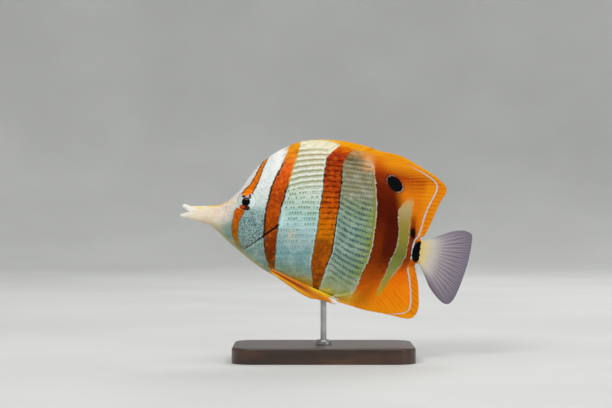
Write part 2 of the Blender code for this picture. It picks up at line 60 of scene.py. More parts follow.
# Flesh outline and widths along x, as in the solids
BACK_POINTS = [(0, 2.4), (5, 3.1), (12, 4.5), (18.8, 6.0), (22, 8.1), (25, 11.6), (28, 15.8),
               (31, 22.2), (35.5, 30.1), (41, 36.4), (48.2, 41.6), (56, 43.2), (70, 42.4),
               (84, 40.4), (94, 37.6), (103, 31.6), (112, 21.8), (118, 12.6), (121.5, 7.4),
               (124, 6.0)]
BELLY_POINTS = [(0, -3.0), (6.1, -4.1), (14.2, -4.9), (19.9, -7.3), (24.8, -10.7), (34.7, -16.6),
                (45.8, -22.4), (52, -24.6), (62, -27.4), (74, -29.6), (82, -30.2), (88, -29.4),
                (97, -24.3), (104, -19.5), (111, -14.1), (117.6, -8.8), (121.5, -6.4), (124, -5.9)]
WIDTH_POINTS = [(0, 1.6), (5, 2.1), (12, 2.7), (20, 3.8), (26, 5.3), (32, 6.5), (40, 7.7), (50, 8.6),
                (60, 8.9), (70, 8.5), (85, 7.1), (100, 5.1), (112, 3.4), (120, 2.3), (124, 2.0)]
BACK_FLAT_POINTS = [(0, 0.4), (20, 0.6), (45, 1.2), (124, 1.2)]
BELLY_FLAT_POINTS = [(0, 0.5), (20, 0.8), (50, 2.0), (82, 2.0), (90, 1.2), (124, 1.2)]
WIDEST_LEVEL = 0.45
BACK_POINT = [(0, 0.5), (20, 0.55), (45, 0.78), (100, 0.78), (118, 0.55), (124, 0.5)]
BELLY_POINT = [(0, 0.5), (20, 0.55), (45, 0.62), (100, 0.7), (118, 0.55), (124, 0.5)]
BODY_END = 124.0

# Skin under the coat of scales
COAT_DEPTH = 0.2
EDGE_ROUND = 1.3
SKIN_ROWS = 120
LINEAR_SHARE = 0.4
TAIL_PLUG = 3.4

# Gill opening: (level from belly to back, x), and how far its free edge stands up
GILL_POINTS = [(0, 33.3), (0.04, 34.6), (0.185, 40.4), (0.26, 44.0), (0.307, 46.7), (0.36, 49.6),
               (0.41, 50.7), (0.46, 50.5), (0.52, 49.2), (0.6, 46.5), (0.66, 44.8), (0.78, 43.2),
               (1, 44.0)]
GILL_SLIT = GILL_POINTS[1:7]
GILL_STATION = 46.0
GILL_WARP = (26.0, 62.0)
GILL_RISE, GILL_GROOVE = 0.32, 0.42
GILL_FADE_LOW, GILL_FADE_HIGH = (0.02, 0.1), (0.46, 0.62)

# Mouth, a little open: upper and lower jaw seen from the side, and the pocket between them
MOUTH_CORNER, MOUTH_LEVEL = 4.9, 0.53
UPPER_JAW_TOP = [(0.1, 2.2), (1.1, 3.3), (2.5, 3.25), (4.9, 3.1)]
UPPER_JAW_EDGE = [(0.1, 1.8), (1.5, 1.2), (3.1, 0.65), (4.9, -0.1)]
LOWER_JAW_EDGE = [(-0.2, -2.4), (0.4, -1.95), (2.4, -1.2), (4.9, -0.1)]
LOWER_JAW_BASE = [(-0.2, -2.8), (0.7, -3.4), (2.8, -3.75), (4.9, -3.9)]
JAW_WIDTH = [(-0.2, 0.9), (1.0, 1.5), (4.9, 2.1)]
JAW_TIP_ROUND = 1.1
LIP = 0.2
JAW_STATIONS = 18
PALATE_POINTS, PALATE_ARCH, TONGUE_ARCH, FULL_ARCH_HALF = 5, 0.5, -0.45, 1.2
POCKET_STEPS, POCKET_DEPTH, POCKET_NARROWING = 3, 2.4, 0.2

# Eye socket, nostrils and the edge of the cheek
EYE_X, EYE_Z = 32.3, 9.8
EYE_RADIUS = 4.85
SOCKET_DEPTH, SOCKET_RIM = 2.3, 0.28
NOSTRILS = [(26.6, 11.2, 0.5), (27.9, 12.8, 0.4)]
NOSTRIL_DEPTH, NOSTRIL_RIM = 0.6, 0.16
CHEEK_X, CHEEK_RISE = 37.4, 0.13


def profile(points):
    """A smooth curve y(x) through the points that never overshoots them."""
    xs, ys = np.array(points, float).T
    widths = np.diff(xs)
    slopes = np.diff(ys) / widths
    tangents = [slopes[0]]
    for before, after, left, right in zip(slopes, slopes[1:], widths, widths[1:]):
        first, second = 2 * right + left, right + 2 * left
        level = before * after <= 0
        tangents.append(0.0 if level else (first + second) / (first / before + second / after))
    tangents = np.array(tangents + [slopes[-1]])

    def value(x):
        x = np.clip(np.asarray(x, float), xs[0], xs[-1])
        i = np.clip(np.searchsorted(xs, x, side="right") - 1, 0, len(widths) - 1)
        width = widths[i]
        t = (x - xs[i]) / width
        return ((1 + 2 * t) * (1 - t) ** 2 * ys[i] + t * (1 - t) ** 2 * width * tangents[i]
                + t * t * (3 - 2 * t) * ys[i + 1] + t * t * (t - 1) * width * tangents[i + 1])

    return value


def path(points, per_span=10):
    """A smooth line through the points, as a function of the share of its length."""
    line = np.array(points, float)
    ends = np.vstack([2 * line[0] - line[1], line, 2 * line[-1] - line[-2]])
    t = np.linspace(0, 1, per_span, endpoint=False)[:, None]
    fine = []
    for a, b, c, d in zip(ends, ends[1:], ends[2:], ends[3:]):
        fine.append(0.5 * (2 * b + (c - a) * t + (2 * a - 5 * b + 4 * c - d) * t * t
                           + (3 * b - a - 3 * c + d) * t ** 3))
    fine = np.vstack(fine + [line[-1:]])
    run = np.concatenate([[0], np.cumsum(np.linalg.norm(np.diff(fine, axis=0), axis=1))])
    run /= run[-1]

    def at(share):
        return np.stack([np.interp(share, run, fine[:, 0]), np.interp(share, run, fine[:, 1])], axis=-1)

    return at


def smoothstep(low, high, value):
    t = np.clip((value - low) / (high - low), 0, 1)
    return t * t * (3 - 2 * t)


def arc(share):
    """Rises from 0 to 1 as a quarter circle does."""
    return np.sqrt(1 - (1 - np.clip(share, 0, 1)) ** 2)


back, belly, half_width = profile(BACK_POINTS), profile(BELLY_POINTS), profile(WIDTH_POINTS)
back_flat, belly_flat = profile(BACK_FLAT_POINTS), profile(BELLY_FLAT_POINTS)
back_point, belly_point = profile(BACK_POINT), profile(BELLY_POINT)
gill_line = profile(GILL_POINTS)


def flesh_half(x, level):
    """Half the body's thickness at x and at a level from 0, the belly, to 1, the back."""
    below = level < WIDEST_LEVEL
    out = np.where(below, (WIDEST_LEVEL - level) / WIDEST_LEVEL,
                   (level - WIDEST_LEVEL) / (1 - WIDEST_LEVEL))
    flat = np.where(below, belly_flat(x), back_flat(x))
    point = np.where(below, belly_point(x), back_point(x))
    return flat + (half_width(x) - flat) * (1 - np.minimum(out, 1) ** 2) ** point


def level_at(x, z):
    return (z - belly(x)) / (back(x) - belly(x))


def half_at(x, z):
    return flesh_half(x, level_at(x, z))


# Pose: the eyes' solids show where the fish's own frame lies
turn = Euler((BANK, PITCH, 0)).to_matrix()
eye_middle = sum((Vector(corner) for name in ("eye_left", "eye_right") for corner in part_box(name)),
                 Vector()) / 4
pose_origin = eye_middle - turn @ (Vector((EYE_X, 0, EYE_Z)) * MM)
turn_rows = np.array(turn)


def place(points):
    """Fish millimetres to the frame's metres."""
    return np.asarray(points, float) * MM @ turn_rows.T + np.array(pose_origin)


def linked(name, data):
    """A new object in the scene, holding a mesh, a lamp or a camera."""
    obj = bpy.data.objects.new(name, data)
    bpy.context.scene.collection.objects.link(obj)
    return obj


def note(mesh, name, values):
    """Stores a vector at each point of a mesh, for its material to read."""
    attribute = mesh.attributes.new(name, "FLOAT_VECTOR", "POINT")
    attribute.data.foreach_set("vector", np.asarray(values, np.float32).ravel())


def make_piece(name, points, faces, materials, face_material=None):
    """A mesh piece of the fish from points in fish millimetres, riding on the body."""
    mesh = bpy.data.meshes.new(name)
    mesh.from_pydata(place(points).tolist(), [], faces)
    for material in materials:
        mesh.materials.append(material)
    note(mesh, "fish", points)
    if face_material is not None:
        mesh.polygons.foreach_set("material_index", np.asarray(face_material, np.int32))
    solid = bmesh.new()
    solid.from_mesh(mesh)
    bmesh.ops.recalc_face_normals(solid, faces=solid.faces)
    solid.to_mesh(mesh)
    solid.free()
    mesh.shade_smooth()
    obj = linked(name, mesh)
    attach(obj, "root")
    return obj


def skin_levels():
    """Rows from belly to back, closer together where the section turns in."""
    share = np.linspace(0, 1, SKIN_ROWS + 1)
    levels = LINEAR_SHARE * share + (1 - LINEAR_SHARE) * (0.5 - 0.5 * np.cos(math.pi * share))
    levels[np.argmin(abs(levels - MOUTH_LEVEL))] = MOUTH_LEVEL
    return levels


def relief(x, z, level):
    """How far the skin stands out of the plain body: eye socket, nostrils, gill cover, cheek."""
    from_eye = np.hypot(x - EYE_X, z - EYE_Z)
    rise = -SOCKET_DEPTH * (1 - smoothstep(EYE_RADIUS - 0.75, EYE_RADIUS - 0.15, from_eye))
    rise += SOCKET_RIM * np.exp(-((from_eye - EYE_RADIUS - 0.35) / 0.5) ** 2)
    for nostril_x, nostril_z, radius in NOSTRILS:
        away = np.hypot(x - nostril_x, z - nostril_z) / radius
        rise += NOSTRIL_RIM * np.exp(-((away - 1.35) / 0.4) ** 2) - NOSTRIL_DEPTH * np.exp(-away ** 4)
    behind = x - gill_line(level)
    strength = smoothstep(*GILL_FADE_LOW, level) * (1 - smoothstep(*GILL_FADE_HIGH, level))
    cover = GILL_RISE * np.exp(np.minimum(behind, 0) / 2.2) * arc(-behind / 0.3 + 0.15)
    groove = -GILL_GROOVE * np.exp(-np.maximum(behind, 0) / 0.55)
    rise += strength * np.where(behind < 0, cover, groove)
    from_cheek = x - (CHEEK_X + 5.5 * (level - 0.35) ** 2)
    on_cheek = smoothstep(0.1, 0.2, level) * (1 - smoothstep(0.48, 0.6, level))
    return rise + CHEEK_RISE * np.exp(-(from_cheek / 0.6) ** 2) * on_cheek


def skin_point(x, level, side):
    """Points of the skin at x and level on one side, -1 left or 1 right."""
    height = back(x) - belly(x)
    z = belly(x) + COAT_DEPTH + level * (height - 2 * COAT_DEPTH)
    edge = np.minimum(EDGE_ROUND, 0.45 * height)
    rounding = arc((1 - level) * height / edge) * arc(level * height / edge)
    y = (flesh_half(x, level) - COAT_DEPTH + relief(x, z, level)) * rounding
    past = np.clip((x - BODY_END) / TAIL_PLUG, 0, 1)
    shrink = np.sqrt(1 - past ** 2)
    return np.stack([x, side * y * shrink, z * (0.55 + 0.45 * shrink)], axis=-1)


def skin_stations():
    """Stations behind the mouth corner, closest at the eye and at the gill opening."""
    runs = [np.arange(MOUTH_CORNER, 22, 0.5), np.arange(22, 44.6, 0.28)]
    near_gill = [-1.2, -0.9, -0.6, -0.4, -0.25, -0.12, -0.03, 0.03, 0.12, 0.25, 0.45, 0.75, 1.1, 1.5]
    runs.append(GILL_STATION + np.array(near_gill))
    runs.append(np.arange(48, BODY_END, 0.8))
    runs.append(BODY_END + TAIL_PLUG * np.sin(np.linspace(0, 0.46, 7) * math.pi))
    return np.concatenate(runs)


def warped(station, levels):
    """x of a station at each level: the stations bend to follow the gill line."""
    start, end = GILL_WARP
    if station < GILL_STATION:
        weight = max(0.0, (station - start) / (GILL_STATION - start))
    else:
        weight = max(0.0, (end - station) / (end - GILL_STATION))
    return station + weight * (gill_line(levels) - GILL_STATION)


def jaw_points(low_points, high_points, levels, is_upper):
    """One side of a jaw as an array of stations by rows, from its tip to the mouth's corner."""
    low, high, width = profile(low_points), profile(high_points), profile(JAW_WIDTH)
    x_start = low_points[0][0]
    share = (levels - levels[0]) / (levels[-1] - levels[0])
    from_edge = share if is_upper else 1 - share
    stations = []
    for k in range(1, JAW_STATIONS + 1):
        x = x_start + (MOUTH_CORNER - x_start) * (k / JAW_STATIONS) ** 1.6
        end = arc((x - x_start) / JAW_TIP_ROUND)
        bottom, top = low(x), high(x)
        z = (bottom + top) / 2 + end * (share - 0.5) * (top - bottom)
        y = end * (width(x) * np.sqrt(1 - (2 * share - 1) ** 2) ** 0.9
                   + LIP * np.exp(-(from_edge / 0.22) ** 2) * (from_edge < 1))
        body = skin_point(np.full_like(levels, x), levels, 1)
        mix = smoothstep(2.2, MOUTH_CORNER, x)
        y = y + (body[:, 1] - y) * mix
        z = z + (body[:, 2] - z) * mix
        y[-1 if is_upper else 0] = 0
        stations.append(np.stack([np.full_like(levels, x), y, z], axis=-1))
    return stations


class Shell:
    """Collects points and faces; rings are lists of point numbers."""

    def __init__(self):
        self.points, self.faces, self.kinds = [], [], []

    def add(self, point):
        self.points.append(tuple(point))
        return len(self.points) - 1

    def add_all(self, points):
        return [self.add(point) for point in points]

    def face(self, corners, kind=0):
        corners = [c for k, c in enumerate(corners) if c != corners[k - 1]]
        if len(set(corners)) > 2:
            self.faces.append(tuple(corners))
            self.kinds.append(kind)

    def bridge(self, first, second, closed=False, kind=0):
        count = len(first)
        for k in range(count if closed else count - 1):
            n = (k + 1) % count
            self.face((first[k], first[n], second[n], second[k]), kind)

    def fan(self, ring, tip, kind=0):
        for k, corner in enumerate(ring):
            self.face((corner, ring[(k + 1) % len(ring)], tip), kind)


def across_mouth(right_edge, left_edge, arch):
    """Points across the mouth between its two edges, arched up or down."""
    line = []
    for k in range(1, PALATE_POINTS + 1):
        share = k / (PALATE_POINTS + 1)
        point = [a + (b - a) * share for a, b in zip(right_edge, left_edge)]
        point[2] += arch * math.sin(math.pi * share)
        line.append(point)
    return line


def build_jaw(shell, stations, is_upper, corner_ring, arch):
    """One jaw from its tip back to the corner ring; gives the line across the mouth's corner."""
    before = None
    for k, right in enumerate(stations):
        left = right * (1, -1, 1)
        if k == len(stations) - 1:
            outer = corner_ring
        elif is_upper:
            outer = shell.add_all([*right, *left[-2::-1]])
        else:
            outer = shell.add_all([*left[::-1], *right[1:]])
        first, final = shell.points[outer[-1]], shell.points[outer[0]]
        width_share = min(1.0, abs(first[1]) / FULL_ARCH_HALF)
        inner = shell.add_all(across_mouth(first, final, arch * width_share))
        inside = [outer[-1]] + inner + [outer[0]]
        if before is None:
            middle = np.mean([shell.points[n] for n in outer], axis=0)
            shell.fan(outer + inner, shell.add(middle - (0.05, 0, 0)))
        else:
            shell.bridge(before[0], outer)
            shell.bridge(before[1], inside, kind=1)
        before = outer, inside
    return before[1]


def build_pocket(shell, upper, lower):
    """The closed end of the mouth behind its corner, narrowing from the two lines across it."""
    starts = [[shell.points[n] for n in line] for line in (upper, lower)]
    middle_z = starts[0][0][2]
    for step in range(1, POCKET_STEPS + 1):
        share = step / POCKET_STEPS
        x = MOUTH_CORNER + POCKET_DEPTH * share
        lines = [[(x, y * (1 - POCKET_NARROWING * share), middle_z + (z - middle_z) * (1 - share))
                  for _, y, z in line] for line in starts]
        new_upper = shell.add_all(lines[0])
        if step == POCKET_STEPS:
            new_lower = new_upper
        else:
            new_lower = [new_upper[0]] + shell.add_all(lines[1][1:-1]) + [new_upper[-1]]
        shell.bridge(upper, new_upper, kind=1)
        shell.bridge(lower, new_lower, kind=1)
        upper, lower = new_upper, new_lower


def build_skin():
    """One closed skin from the two jaws to the root of the tail fin."""
    shell = Shell()
    levels = skin_levels()
    mouth = int(np.argmin(abs(levels - MOUTH_LEVEL)))
    rings = []
    for station in skin_stations():
        x = warped(station, levels) if station < BODY_END else np.full_like(levels, station)
        right, left = skin_point(x, levels, 1), skin_point(x, levels, -1)
        rings.append(shell.add_all([*right, *left[-2:0:-1]]))
    for first, second in zip(rings, rings[1:]):
        shell.bridge(first, second, closed=True)
    shell.fan(rings[-1], shell.add(np.mean([shell.points[k] for k in rings[-1]], axis=0)))

    ring, other = rings[0], len(rings[0]) - mouth
    stations = jaw_points(UPPER_JAW_EDGE, UPPER_JAW_TOP, levels[mouth:], True)
    upper = build_jaw(shell, stations, True, ring[mouth:other + 1], PALATE_ARCH)
    stations = jaw_points(LOWER_JAW_BASE, LOWER_JAW_EDGE, levels[:mouth + 1], False)
    lower = build_jaw(shell, stations, False, ring[other:] + ring[:mouth + 1], TONGUE_ARCH)
    build_pocket(shell, upper, lower[::-1])
    return shell


# Fins: outlines as in the solids; rays and spines finer
SPINE_ROOT = (48.6, 78.4)
SPINE_TIPS = [(50.9, 43.9), (54.6, 45.9), (59.0, 47.3), (64.0, 48.4), (69.6, 49.3), (75.2, 49.7),
              (80.6, 49.6), (86.0, 49.3), (91.9, 48.7)]
MEMBRANE_NOTCH = 0.45
SOFT_DORSAL_ROOT = (77.8, 121.9)
SOFT_DORSAL_EDGE = [(92.2, 48.0), (98, 47.6), (103.2, 47.4), (107.6, 46.6), (113.3, 44.5),
                    (119, 42.3), (124.6, 40), (128.4, 37.9), (131.4, 35.2), (131.9, 32), (130.2, 27.8),
                    (128.7, 22.8), (126.9, 15.1), (124.6, 8.3)]
SOFT_DORSAL_RAYS = 29
ANAL_ROOT = (84.4, 121.6)
ANAL_EDGE = [(86.8, -32.4), (89.9, -32.8), (95.3, -33.4), (100.7, -34), (107, -34.1), (114.5, -34.3),
             (120.9, -34.7), (125, -34.1), (127.2, -31.4), (127.8, -27), (126.9, -21.9),
             (125.5, -15.8), (122.4, -7.4)]
ANAL_SPINES, ANAL_RAYS = 3, 20
CAUDAL_ROOT_HALF, CAUDAL_ROOT_THICKNESS = 5.6, 3.8
CAUDAL_EDGE = [(124.9, 6.3), (130.1, 8.8), (137.8, 13.3), (143, 15), (146, 15), (149, 13.5),
               (149.6, 7.4), (149.3, 1), (148.5, -5.4), (146.9, -14.1), (144.9, -20.9),
               (142.1, -23.7), (138, -22.3), (132.7, -17.7), (127.3, -11.3), (124.5, -6.4)]
CAUDAL_EDGE_RUN = (0.13, 0.87)
CAUDAL_RAYS, CAUDAL_FORK = 22, 0.26
CAUDAL_SWING = 3.2
PECTORAL_X, PECTORAL_Z = 51.9, -3.2
PECTORAL_BASE, PECTORAL_LENGTH = 6.2, 20.0
PECTORAL_RAYS = 14
PECTORAL_TOP_SLOPE, PECTORAL_LOW_SLOPE = math.radians(10), math.radians(-38)
PECTORAL_TURNS = {"left": 24, "right": 30}
PECTORAL_STAND_OFF = 0.75
PELVIC_ROOT = [(51.5, -23.9), (51.3, -21.9)]
PELVIC_TIPS = [(66.5, -30.9), (72.5, -32.8), (79.5, -33.1), (87.4, -33.8), (89.2, -31.9), (86.5, -31.0),
               (82.5, -30.1)]
PELVIC_CLEARANCE, PELVIC_LEVEL = 1.3, 2.5
PELVIC_SHIFTS = {"left": (0.0, 0.0), "right": (-0.3, 0.2)}
PELVIC_NOTCH, PELVIC_NOTCH_WIDTH, PELVIC_NOTCH_DEPTH = 4.42, 0.2, 8.0
ROOT_TAPER = 3.0
RAY_SAMPLES = 12
SPINE_SAMPLES = (0, 0.035, 0.07, 0.1, 0.13, 0.17, 0.23, 0.32, 0.42, 0.5)


def root_line(curve, ends, share):
    """A fin's roots along the back or the belly, at shares of the way between two values of x."""
    x = ends[0] + (ends[1] - ends[0]) * share
    return np.stack([x, curve(x)], axis=-1)


def ray_phases(rays):
    """Places of the columns across a fin, counted in rays."""
    return np.arange(rays * RAY_SAMPLES + 1) / RAY_SAMPLES


def soft_ridge(phase, share, spread=0.2):
    """Height from 0 to 1 of soft rays, which fork twice on their way to the edge."""
    off = phase % 1 - 0.5
    first = spread * smoothstep(0.3, 1.0, share)
    second = 0.4 * spread * smoothstep(0.6, 1.0, share)
    width = 0.13 - 0.04 * share
    height = np.zeros_like(off)
    for a in (-1, 1):
        for b in (-1, 1):
            height = np.maximum(height, np.exp(-((off - a * first - b * second) / width) ** 2))
    return height


def spine_ridge(phase, share, width=0.17):
    """Height from 0 to 1 of hard spines at whole phases, narrower towards their tips."""
    off = abs(phase - np.round(phase))
    reach = width * (1 - 0.55 * share)
    return np.sqrt(np.clip(1 - (off / reach) ** 2, 0, 1))


def fin_piece(name, roots, edges, ridge, phase, settings, materials):
    """A closed fin: two faces over a fan of columns, rays raised on both.

    settings: rows, root_half, membrane, rise, sink, and bend(x, z, share) for the sideways shift.
    The attribute "fin" holds each point's phase, share of the way out, and ray height.
    """
    rows = settings["rows"]
    length = np.linalg.norm(edges - roots, axis=1)
    shares = [-settings["sink"] / length] + [np.full(len(phase), k / rows) for k in range(rows + 1)]
    left, right, notes = [], [], []
    for share in shares:
        flat = roots + (edges - roots) * share[:, None]
        out = np.clip(share, 0, 1)
        height = ridge(phase, out)
        half = settings["membrane"] + (settings["root_half"] - settings["membrane"]) * (
            1 - out) ** settings.get("taper", ROOT_TAPER)
        half = half + settings["rise"] * height * np.minimum(1, 5 * out) * (1 - 0.55 * out)
        half = half * (1 - 0.5 * smoothstep(0.9, 1.0, out))
        x, z = flat[:, 0], flat[:, 1]
        shift = settings["bend"](x, z, out) if settings.get("bend") else 0.0
        left.append(np.stack([x, shift - half, z], axis=-1))
        right.append(np.stack([x, shift + half, z], axis=-1))
        notes.append(np.stack([phase, out, height], axis=-1))
    shell, rims = Shell(), []
    grids = [[shell.add_all(row) for row in side] for side in (left, right)]
    for grid in grids:
        for first, second in zip(grid, grid[1:]):
            shell.bridge(first, second)
        start = [row[0] for row in grid]
        end = [row[-1] for row in grid][::-1]
        rims.append(start + grid[-1][1:-1] + end + grid[0][-2:0:-1])
    shell.bridge(*rims, closed=True)
    obj = make_piece(name, shell.points, shell.faces, materials)
    note(obj.data, "fin", np.concatenate(notes * 2))
    return obj


def scalloped(roots, edges, phase, ridge, depth):
    """Edges drawn in between the ray tips."""
    height = ridge(phase, np.ones_like(phase))
    away = edges - roots
    length = np.linalg.norm(away, axis=1)
    return edges - away / length[:, None] * (depth * (1 - height))[:, None]


def ripple(height, wave):
    """A gentle wave along a fin, growing towards its edge."""
    return lambda x, z, share: height * share ** 2 * np.sin((x + 0.6 * z) / wave)


def spine_phases(count):
    samples = np.array(SPINE_SAMPLES)
    half = np.concatenate([samples, 1 - samples[-2:0:-1]])
    return np.concatenate([half + k for k in range(count)] + [[count]])


def build_dorsal(materials):
    """Nine spines and their membrane, running on without a break into the soft rays."""
    last = len(SPINE_TIPS) - 1
    phase = spine_phases(last)
    tips = np.array(SPINE_TIPS)
    roots = root_line(back, SPINE_ROOT, phase / last)
    edges = np.stack([np.interp(phase, range(last + 1), tips[:, k]) for k in (0, 1)], axis=-1)
    edges[:, 1] -= MEMBRANE_NOTCH * np.sqrt(np.clip(np.sin(math.pi * (phase % 1) ** 0.8), 0, 1))
    settings = {"rows": 16, "root_half": 1.15, "membrane": 0.16, "rise": 0.4, "sink": 1.6}
    spiny = fin_piece("dorsal_fin_spiny_part", roots, edges, spine_ridge, phase, settings, materials)
    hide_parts("dorsal_fin_spiny")

    phase = ray_phases(SOFT_DORSAL_RAYS)
    share = phase / SOFT_DORSAL_RAYS
    roots = root_line(back, SOFT_DORSAL_ROOT, share)
    edges = path([SPINE_TIPS[-1]] + SOFT_DORSAL_EDGE)(share)
    edges = scalloped(roots, edges, phase, soft_ridge, 0.28)
    settings = {"rows": 40, "root_half": 1.5, "membrane": 0.17, "rise": 0.16, "sink": 1.8,
                "bend": ripple(0.35, 6.0), "taper": 2.0}
    soft = fin_piece("dorsal_fin_soft_part", roots, edges, soft_ridge, phase, settings, materials)
    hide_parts("dorsal_fin_soft")
    return spiny, soft


def build_anal(materials):
    """Three strong spines, then soft rays."""
    rays = ANAL_SPINES + ANAL_RAYS
    phase = ray_phases(rays)
    share = phase / rays
    roots = root_line(belly, ANAL_ROOT, share)
    edges = path(ANAL_EDGE)(share)

    def ridge(phase, share):
        hard = spine_ridge(phase - 0.5, share, 0.3) * 1.9
        return np.where(phase < ANAL_SPINES, hard, soft_ridge(phase, share))

    edges = scalloped(roots, edges, phase, lambda p, s: np.minimum(ridge(p, s), 1), 0.35)
    settings = {"rows": 34, "root_half": 2.2, "membrane": 0.17, "rise": 0.16, "sink": 1.8,
                "bend": ripple(0.35, 6.0), "taper": 2.6}
    fin = fin_piece("anal_fin_part", roots, edges, ridge, phase, settings, materials)
    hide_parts("anal_fin")
    return fin


def build_caudal(materials):
    """The tail fin, swung a little to the fish's right."""
    phase = ray_phases(CAUDAL_RAYS)
    share = phase / CAUDAL_RAYS
    roots = np.stack([np.full_like(share, BODY_END + 0.3), CAUDAL_ROOT_HALF * (1 - 2 * share)], axis=-1)
    start, end = CAUDAL_EDGE_RUN
    edges = path(CAUDAL_EDGE)(start + (end - start) * share)

    def ridge(phase, share):
        return soft_ridge(phase, share, CAUDAL_FORK)

    edges = scalloped(roots, edges, phase, ridge, 0.3)

    def bend(x, z, share):
        return CAUDAL_SWING * share ** 2 * (1 + 0.3 * np.sin(z / 6))

    settings = {"rows": 44, "root_half": CAUDAL_ROOT_THICKNESS / 2, "membrane": 0.1, "rise": 0.1,
                "sink": 1.0, "bend": bend}
    fin = fin_piece("caudal_fin_part", roots, edges, ridge, phase, settings, materials)
    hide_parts("caudal_fin")


def build_pectoral(word, side, materials):
    """A clear fan of rays, its root flat against the side of the body."""
    turn_out = math.radians(PECTORAL_TURNS[word])
    phase = ray_phases(PECTORAL_RAYS)
    share = phase / PECTORAL_RAYS
    slope = PECTORAL_TOP_SLOPE + (PECTORAL_LOW_SLOPE - PECTORAL_TOP_SLOPE) * share
    rounding = np.sin(math.pi / 2 * np.minimum(1, 0.35 + 2.2 * share))
    length = PECTORAL_LENGTH * (1 - 0.48 * share ** 2) * (0.5 + 0.5 * rounding)
    root_z = PECTORAL_Z + PECTORAL_BASE * (0.5 - share)
    roots = np.stack([np.full_like(share, PECTORAL_X), root_z], axis=-1)
    reach = np.stack([np.cos(slope) * math.cos(turn_out), np.sin(slope)], axis=-1)
    edges = scalloped(roots, roots + length[:, None] * reach, phase, soft_ridge, 0.4)
    start = half_at(PECTORAL_X, PECTORAL_Z) + PECTORAL_STAND_OFF

    def bend(x, z, share):
        out = start + (x - PECTORAL_X) * math.tan(turn_out) * np.minimum(1, 0.35 + share)
        return side * (out - 0.9 * (1 - smoothstep(0, 0.12, share)))

    settings = {"rows": 30, "root_half": 0.7, "membrane": 0.06, "rise": 0.12, "sink": 0.6, "bend": bend}
    fin = fin_piece(f"pectoral_fin_{word}_part", roots, edges, soft_ridge, phase, settings, materials)
    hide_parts(f"pectoral_fin_{word}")


def build_pelvic(word, side, materials):
    """A slender fin along the belly; its spine leads below, and its middle rays are longest."""
    rays = len(PELVIC_TIPS) - 1
    phase = ray_phases(rays)
    shift = np.array(PELVIC_SHIFTS[word])
    low, high = np.array(PELVIC_ROOT)
    roots = low + (high - low) * (phase / rays)[:, None] + shift
    edges = path(PELVIC_TIPS)(phase / rays) + shift

    def ridge(phase, share):
        hard = np.exp(-((phase - 0.4) / 0.3) ** 2) * 1.5
        return np.where(phase < 1, hard, soft_ridge(phase, share, 0.14))

    edges = scalloped(roots, edges, phase, lambda p, s: np.minimum(ridge(p, s), 1), 0.5)

    def whole(phase, share):
        return 1 - np.exp(-((phase - PELVIC_NOTCH) / PELVIC_NOTCH_WIDTH) ** 2)

    edges = scalloped(roots, edges, phase, whole, PELVIC_NOTCH_DEPTH)

    def bend(x, z, share):
        arched = 0.8 * np.sin(math.pi * share ** 0.7)
        out = half_at(x, belly(x) + PELVIC_LEVEL) + PELVIC_CLEARANCE + arched
        return side * (out - 1.8 * (1 - smoothstep(0, 0.14, share)))

    settings = {"rows": 36, "root_half": 0.75, "membrane": 0.12, "rise": 0.2, "sink": 0.8, "bend": bend}
    fin = fin_piece(f"pelvic_fin_{word}_part", roots, edges, ridge, phase, settings, materials)
    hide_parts(f"pelvic_fin_{word}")


def srgb(red, green, blue):
    """A colour as it shows on a screen, turned into the shaders' linear values."""
    return tuple(c / 12.92 if c <= 0.04045 else ((c + 0.055) / 1.055) ** 2.4
                 for c in (red, green, blue)) + (1.0,)


# Markings in fish millimetres. A line across the body is a list of (z, x), a colour run of (z, colour)
MARK_HEIGHTS, MARK_LENGTHS = (-36.0, 52.0), (0.0, 150.0)
EDGE_SOFTNESS, EDGE_WANDER = 0.2, 1.0
HEAD_START = [(-16, 22.5), (-8, 23.0), (0, 26.0), (8, 29.0), (20, 33), (36, 41)]
EYE_BAR_FRONT = [(-16, 32.8), (-12.5, 30.6), (-8.7, 28.1), (-1.4, 27.1), (6, 27.6), (13.7, 29.4),
                 (19.7, 33.1), (26.4, 35.1), (32.6, 37.2), (38, 38.8)]
EYE_BAR_REAR = [(-16, 35.4), (-12.2, 33.0), (-8.5, 30.9), (-4.1, 30.4), (1.3, 31.0), (5.8, 32.4),
                (10, 34.4), (15.8, 35.1), (21.4, 36.5), (29, 37.8), (34.6, 39.5), (38, 40.4)]
SHOULDER_FRONT = [(-26, 53.2), (-22.7, 50.6), (-19.9, 48.4), (-13, 45.4), (-2.8, 43.4), (7.6, 42.6),
                  (14, 43.1), (22.7, 44.2), (28.3, 45.9), (36, 47.7), (42.8, 49.1), (48, 50.3)]
SHOULDER_REAR = [(-26, 53.3), (-22.9, 52.4), (-18.3, 51.6), (-11.1, 50.7), (-1.6, 50.1), (6.8, 50.2),
                 (14.2, 50.4), (22.9, 51.6), (31.5, 52.6), (39.1, 53.5), (44.7, 54.2), (48, 54.8)]
MIDDLE_FRONT = [(-30, 73.6), (-26.2, 72.4), (-21.2, 71.0), (-14.1, 69.6), (-7.7, 69.7), (2.9, 69.7),
                (13.3, 69.2), (21.8, 69.1), (32.3, 68.4), (39.1, 68.5), (43.3, 71.2), (46.4, 73.8),
                (50, 76.5)]
MIDDLE_REAR = [(-30, 75.9), (-23.4, 76.6), (-15.8, 77.6), (-7.1, 79.0), (4.4, 78.7), (14.9, 78.4),
               (25.5, 78.0), (34.8, 77.1), (40.8, 78.2), (46.1, 81.5), (50, 85)]
HIND_FRONT = [(-36, 91.5), (-30, 92.6), (-24.5, 94.3), (-16.9, 95.9), (-7.9, 98.2), (0.6, 98.9),
              (11.2, 98.6), (21.5, 97.2), (31.7, 94.9), (40.3, 92.6), (46, 90.6)]
